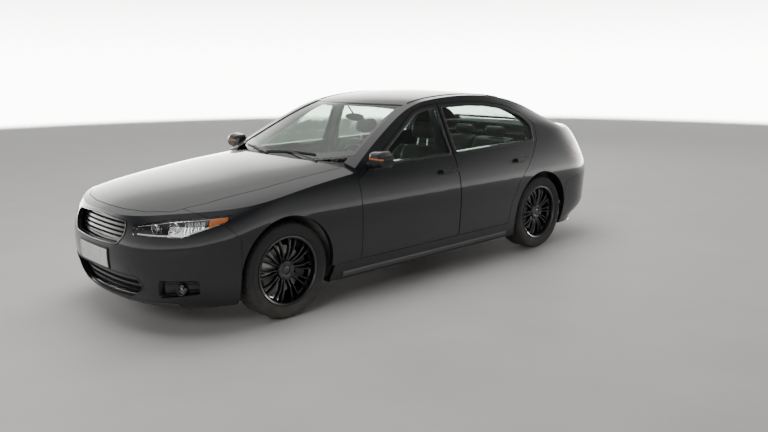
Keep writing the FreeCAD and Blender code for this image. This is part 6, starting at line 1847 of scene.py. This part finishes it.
class SEDAN_OT_lining(bpy.types.Operator):
    """Roof lining, sun visors, carpets, door cards with arm rests, and seat belts"""

    bl_idname = "sedan.lining"
    bl_label = "Lining"

    def execute(self, context):
        roof = ("roof_panel", "body_side_left", "body_side_right")
        rows = []
        for x in spread(0.06, -1.105, 40):
            half = glass_half(x) - 0.03
            rows.append(laid([(x, half * t) for t in spread(-1, 1, 31)],
                             lambda x, y: under(roof, x, y, 0.006)))
        done(skin("roof_lining", rows, (0, 0, -1), 0.006), "headliner")
        visors = [panel("visor", spread(0.045, -0.085, 8),
                        [sign * y for y in spread(0.13, 0.45, 17)],
                        lambda y, x, lift: under(roof, x, y, lift), (0, 0, -1), 0.012, 0.004, 0.016)
                  for sign in (1, -1)]
        done(joined(visors, "sun_visors"), "headliner")
        carpets = [panel(f"carpet_{tag}", spread(x0, x1, 12), spread(0.128, 0.64, 14),
                         lambda y, x, lift: floor_at("floor_pan", x, y, lift), (0, 0, 1), 0.009,
                         0.003, 0.001)
                   for tag, x0, x1 in (("front", 0.93, 0.4), ("rear", -0.06, -0.54))]
        both(joined(carpets, "carpets_left"), "felt")
        rows = [[Vector((x, y, z)) for y, z in (
            (-0.1135, 0.222), (-0.1135, 0.3), (-0.105, 0.3155), (0, 0.3155),
            (0.105, 0.3155), (0.1135, 0.3), (0.1135, 0.222))]
            for x in spread(0.93, -0.98, 40) if x < -0.13]
        done(skin("tunnel_carpet", rows, (0, 0, 1), 0.004), "felt")
        for end, x0, x1 in (("front", 0.7, -0.16), ("rear", -0.335, -0.83)):
            ask, body = partial(inner_side, f"door_{end}_left"), DOOR[end]
            levels = [(z, 0.002 + 0.01 * math.exp(-((z - 0.64) / 0.05) ** 2))
                      for z in spread(0.42, 0.93, 22)]
            both(panel(f"{end}_door_card_left", levels, spread(x0, x1, 30), ask, (0, -1, 0), 0.004),
                 "cabin", body)
            levels = ((0.628, 0.004), (0.634, 0.036), (0.655, 0.044), (0.672, 0.04),
                      (0.68, 0.03), (0.684, 0.006))
            both(panel(f"{end}_door_arm_rest_left", levels, spread(x0 - 0.12, x1 + 0.05, 26), ask,
                       (0, -1, 0), 0.003, 0.001), "leather", body)
            spot = ask((x0 + x1) / 2 + 0.1, 0.77, 0.007)
            cup = soft_block("cup", spot, (0.11, 0.006, 0.036), 0.002)
            pull = rope("pull", [spot + Vector(move) for move in (
                (0.04, -0.006, 0.004), (0.0, -0.014, 0.006), (-0.04, -0.008, 0.002))], 0.004, 2)
            both(joined([cup, pull], f"{end}_door_pull_left"), "dark_chrome", body)
            both(spun(f"{end}_speaker_left", [
                (CORE, 0.006), (0.03, 0.0055), (0.07, 0.003), (0.078, 0.006), (0.084, 0.004),
                (0.086, -0.002), (CORE, -0.002)], ask(x0 - 0.11, 0.49, 0.008), (0, -1, 0), 56,
                30), "cabin", body)
        high, low = [inner_side("body_side_left", -0.242, z, 0.012) for z in (1.1, 0.5)]
        for side, sign in SIDES:
            rows = [[Vector((p.x + half, sign * p.y, p.z)) for half in (-0.022, 0.022)]
                    for p in [high.lerp(low, t) for t in spread(0, 1, 14)]]
            done(skin(f"seat_belt_{side}", rows, (0, -sign, 0), 0.0016), "felt")
        return {"FINISHED"}


# Under the bonnet and in the boot

def bay_box(name, centre, size, look, edge=0.008):
    """A moulded box with softened edges and a lid line."""
    case = soft_block(name, centre, size, edge, 3)
    lid = soft_block("lid", Vector(centre) + Vector((0, 0, size[2] / 2 - 0.012)),
                     (size[0] + 0.006, size[1] + 0.006, 0.006), 0.002)
    done(shaded(joined([case, lid], name), 35), look)


def pipe(name, points, radius):
    """A moulded pipe through its points, with a clip at each end."""
    piece = tube(name, points, radius, 4, kind="NURBS")
    clips = []
    for a, b in ((points[0], points[1]), (points[-1], points[-2])):
        a, b = Vector(a), Vector(b)
        way = (b - a).normalized()
        clips.append(barrel("clip", a + way * 0.012, a + way * 0.022, radius + 0.0025, 24))
    done(shaded(joined([piece] + clips, name), 50), "rubber")


class SEDAN_OT_engine_bay(bpy.types.Operator):
    """Engine cover, battery, air box, reservoirs, pipes, radiator fins and bonnet lining"""

    bl_idname = "sedan.engine_bay"
    bl_label = "Engine bay"

    def execute(self, context):
        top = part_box("engine_block")[1].z
        parts = [soft_block("engine_cover", (1.5, 0.0, top + 0.016), (0.4, 0.5, 0.03), 0.01, 3)]
        for k in range(7):
            parts.append(soft_block("rib", (1.515, -0.18 + 0.06 * k, top + 0.033),
                                    (0.3, 0.018, 0.008), 0.003))
        for y in (0.232, -0.232):
            parts.append(soft_block("rail", (1.5, y, top + 0.032), (0.36, 0.024, 0.008), 0.003))
        done(shaded(joined(parts, "engine_cover"), 35), "engine")
        cap = barrel("oil_cap", (1.665, 0.17, top + 0.028), (1.665, 0.17, top + 0.052), 0.03, 24)
        grip = soft_block("grip", (1.665, 0.17, top + 0.055), (0.052, 0.01, 0.01), 0.003)
        done(shaded(joined([rounded(cap, 0.003, 2), grip], "oil_cap"), 40), "plastic")
        stick = rope("dipstick", [(1.36, -0.285, 0.6), (1.36, -0.3, 0.74),
                                  (1.372, -0.302, top + 0.01)], 0.004)
        loop = rope("loop", [(1.372 + 0.014 * math.cos(a), -0.302,
                              top + 0.022 + 0.014 * math.sin(a))
                             for a in [FULL_TURN * k / 16 for k in range(16)]], 0.004,
                    cyclic=True)
        done(joined([stick, loop], "dipstick"), "amber_lens")
        bay_box("battery", (1.61, 0.475, 0.69), (0.24, 0.17, 0.185), "plastic")
        posts = []
        for x in (1.54, 1.68):
            posts.append(rounded(barrel("post", (x, 0.44, 0.78), (x, 0.44, 0.797), 0.0095, 20),
                                 0.001, 1))
            posts.append(soft_block("clamp", (x, 0.452, 0.789), (0.03, 0.04, 0.012), 0.003, 1))
        done(shaded(joined(posts, "battery_posts"), 40), "aluminium")
        bay_box("air_box", (1.64, -0.47, 0.69), (0.25, 0.19, 0.15), "engine", 0.014)
        pipe("intake_duct", [(1.56, -0.44, 0.735), (1.5, -0.44, 0.77),
                             (1.45, -0.38, 0.78), (1.44, -0.3, 0.765),
                             (1.44, -0.25, 0.765)], 0.034)
        pipe("coolant_pipe_upper", [(2.04, 0.26, 0.69), (1.96, 0.26, 0.705),
                                    (1.88, 0.18, 0.745), (1.8, 0.12, 0.735),
                                    (1.76, 0.11, 0.715)], 0.019)
        pipe("coolant_pipe_lower", [(2.04, -0.26, 0.3), (1.96, -0.26, 0.29),
                                    (1.88, -0.2, 0.3), (1.8, -0.16, 0.33),
                                    (1.76, -0.15, 0.34)], 0.019)
        bay_box("coolant_tank", (1.26, 0.455, 0.72), (0.15, 0.14, 0.11), "frosted", 0.022)
        lid = rounded(barrel("lid", (1.26, 0.455, 0.772), (1.26, 0.455, 0.8), 0.026, 24), 0.004, 2)
        done(shaded(lid, 40), "plastic")
        bay_box("brake_reservoir", (1.08, 0.4, 0.8), (0.095, 0.07, 0.06), "frosted", 0.01)
        done(spun("brake_servo", [
            (CORE, -0.06), (0.06, -0.058), (0.11, -0.03), (0.118, -0.006), (0.122, 0.0),
            (0.118, 0.006), (0.1, 0.03), (0.05, 0.048), (0.03, 0.056), (0.028, 0.11),
            (CORE, 0.112)], (1.07, 0.4, 0.67), (1, 0, 0), 64, 35), "gloss_black")
        pad = panel("bonnet_lining", spread(1.06, 2.05, 34), spread(-0.5, 0.5, 35),
                    lambda y, x, drop: under("bonnet", x, y, drop, 0.5), (0, 0, -1), 0.007, 0.002,
                    0.002)
        for vertex in pad.data.vertices:
            quilt = abs(math.sin(vertex.co.x * 21)) * abs(math.sin(vertex.co.y * 21))
            vertex.co.z += 0.003 - 0.003 * quilt ** 0.5
        done(shaded(pad, 60), "felt", "bonnet_lid")
        spots = [(0.5 * t) for t in spread(-1, 1, 25)]
        rows = [[Vector((x, y * share, z)) for y in spots]
                for x, share, z in ((1.95, 1, 0.752), (2.035, 1, 0.752), (2.095, 0.97, 0.742))]
        done(skin("radiator_cover", rows, (0, 0, 1), 0.004, edge=0.0015), "engine")
        low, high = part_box("radiator")
        size = (0.0024, (high.y - low.y) * 0.92, 0.0026)
        fins = [block("fin", (high.x + 0.0012, 0, z), size)
                for z in [low.z + 0.014 + (high.z - low.z - 0.028) * k / 43 for k in range(44)]]
        done(joined(fins, "radiator_fins"), "aluminium")
        return {"FINISHED"}


class SEDAN_OT_boot(bpy.types.Operator):
    """Boot carpet with its ring, the lid's inner panel and its pull"""

    bl_idname = "sedan.boot"
    bl_label = "Boot"

    def execute(self, context):
        done(panel("boot_carpet", spread(-0.925, -2.29, 40), spread(-0.485, 0.485, 33),
                   lambda y, x, lift: floor_at("floor_pan", x, y, lift, 0.6), (0, 0, 1), 0.01,
                   0.003, 0.001), "felt")
        done(spun("boot_floor_ring", [(0.02, 0.0), (0.034, 0.0), (0.035, 0.0015),
                                      (0.033, 0.003), (0.021, 0.003), (0.019, 0.0015)],
                  (-2.15, 0, 0.4412), (0, 0, 1), 40, 40), "cabin")
        rows = []
        for y in spread(-0.44, 0.44, 33):
            line = [(z, met("boot_lid", (-1.2, y, z), (-1, 0, 0), move=(0.002, 0, 0)))
                    for z in spread(0.7, 0.9, 14)]
            if len(kept(spot for _, spot in line)) >= 10:
                rows.append(laid(line, lambda z, spot: spot))
        panel_part = skin("boot_lid_lining", rows, (1, 0, 0), 0.005, edge=0.0015)
        done(panel_part, "felt", "boot")
        spot = met("boot_lid", (-1.2, 0.24, 0.78), (-1, 0, 0))
        pull = soft_block("lid_pull", (rows[0][4].x, 0.24, 0.78), (0.012, 0.1, 0.034), 0.004)
        pull.data.transform(Matrix.Translation((spot.x + 0.01 - rows[0][4].x, 0, 0)))
        done(shaded(pull), "cabin", "boot")
        return {"FINISHED"}


class SEDAN_OT_stage(bpy.types.Operator):
    """Set the floor, the light and the photograph's viewpoint"""

    bl_idname = "sedan.stage"
    bl_label = "Stage"

    def execute(self, context):
        stage_camera()
        stage_floor()
        stage_light()
        return {"FINISHED"}


class SEDAN_OT_finishes(bpy.types.Operator):
    """Give every carried-over CAD piece its finish"""

    bl_idname = "sedan.finishes"
    bl_label = "Finishes"

    def execute(self, context):
        dress_nodes()
        return {"FINISHED"}


STEPS = [SEDAN_OT_stage, SEDAN_OT_finishes, SEDAN_OT_wheels, SEDAN_OT_head_lamps,
         SEDAN_OT_tail_lamps, SEDAN_OT_nose, SEDAN_OT_glass_edges, SEDAN_OT_outside,
         SEDAN_OT_seats, SEDAN_OT_cabin, SEDAN_OT_lining, SEDAN_OT_engine_bay, SEDAN_OT_boot]


class SEDAN_PT_pieces(bpy.types.Panel):
    """Sizes, colours and the steps that dress the car"""

    bl_label = "Sedan"
    bl_space_type = "VIEW_3D"
    bl_region_type = "UI"
    bl_category = "Sedan"

    def draw(self, context):
        scene = context.scene
        for settings in (scene.sedan_body, scene.sedan_wheels, scene.sedan_trim):
            box = self.layout.box()
            box.label(text=settings.__doc__)
            for key in settings.__annotations__:
                box.prop(settings, key)
        for step in STEPS:
            self.layout.operator(step.bl_idname)


SETTINGS = (("sedan_body", BodyFinish), ("sedan_wheels", WheelSizes), ("sedan_trim", TrimSizes))


def register():
    """Make the settings, steps and panel known."""
    for attribute, settings in SETTINGS:
        bpy.utils.register_class(settings)
        setattr(bpy.types.Scene, attribute, bpy.props.PointerProperty(type=settings))
    for step in STEPS:
        bpy.utils.register_class(step)
    bpy.utils.register_class(SEDAN_PT_pieces)


def unregister():
    """Take them out again."""
    bpy.utils.unregister_class(SEDAN_PT_pieces)
    for step in reversed(STEPS):
        bpy.utils.unregister_class(step)
    for attribute, settings in reversed(SETTINGS):
        delattr(bpy.types.Scene, attribute)
        bpy.utils.unregister_class(settings)


def main():
    register()
    for step in STEPS:
        space, name = step.bl_idname.split(".")
        getattr(getattr(bpy.ops, space), name)()


if __name__ == "__main__":
    main()
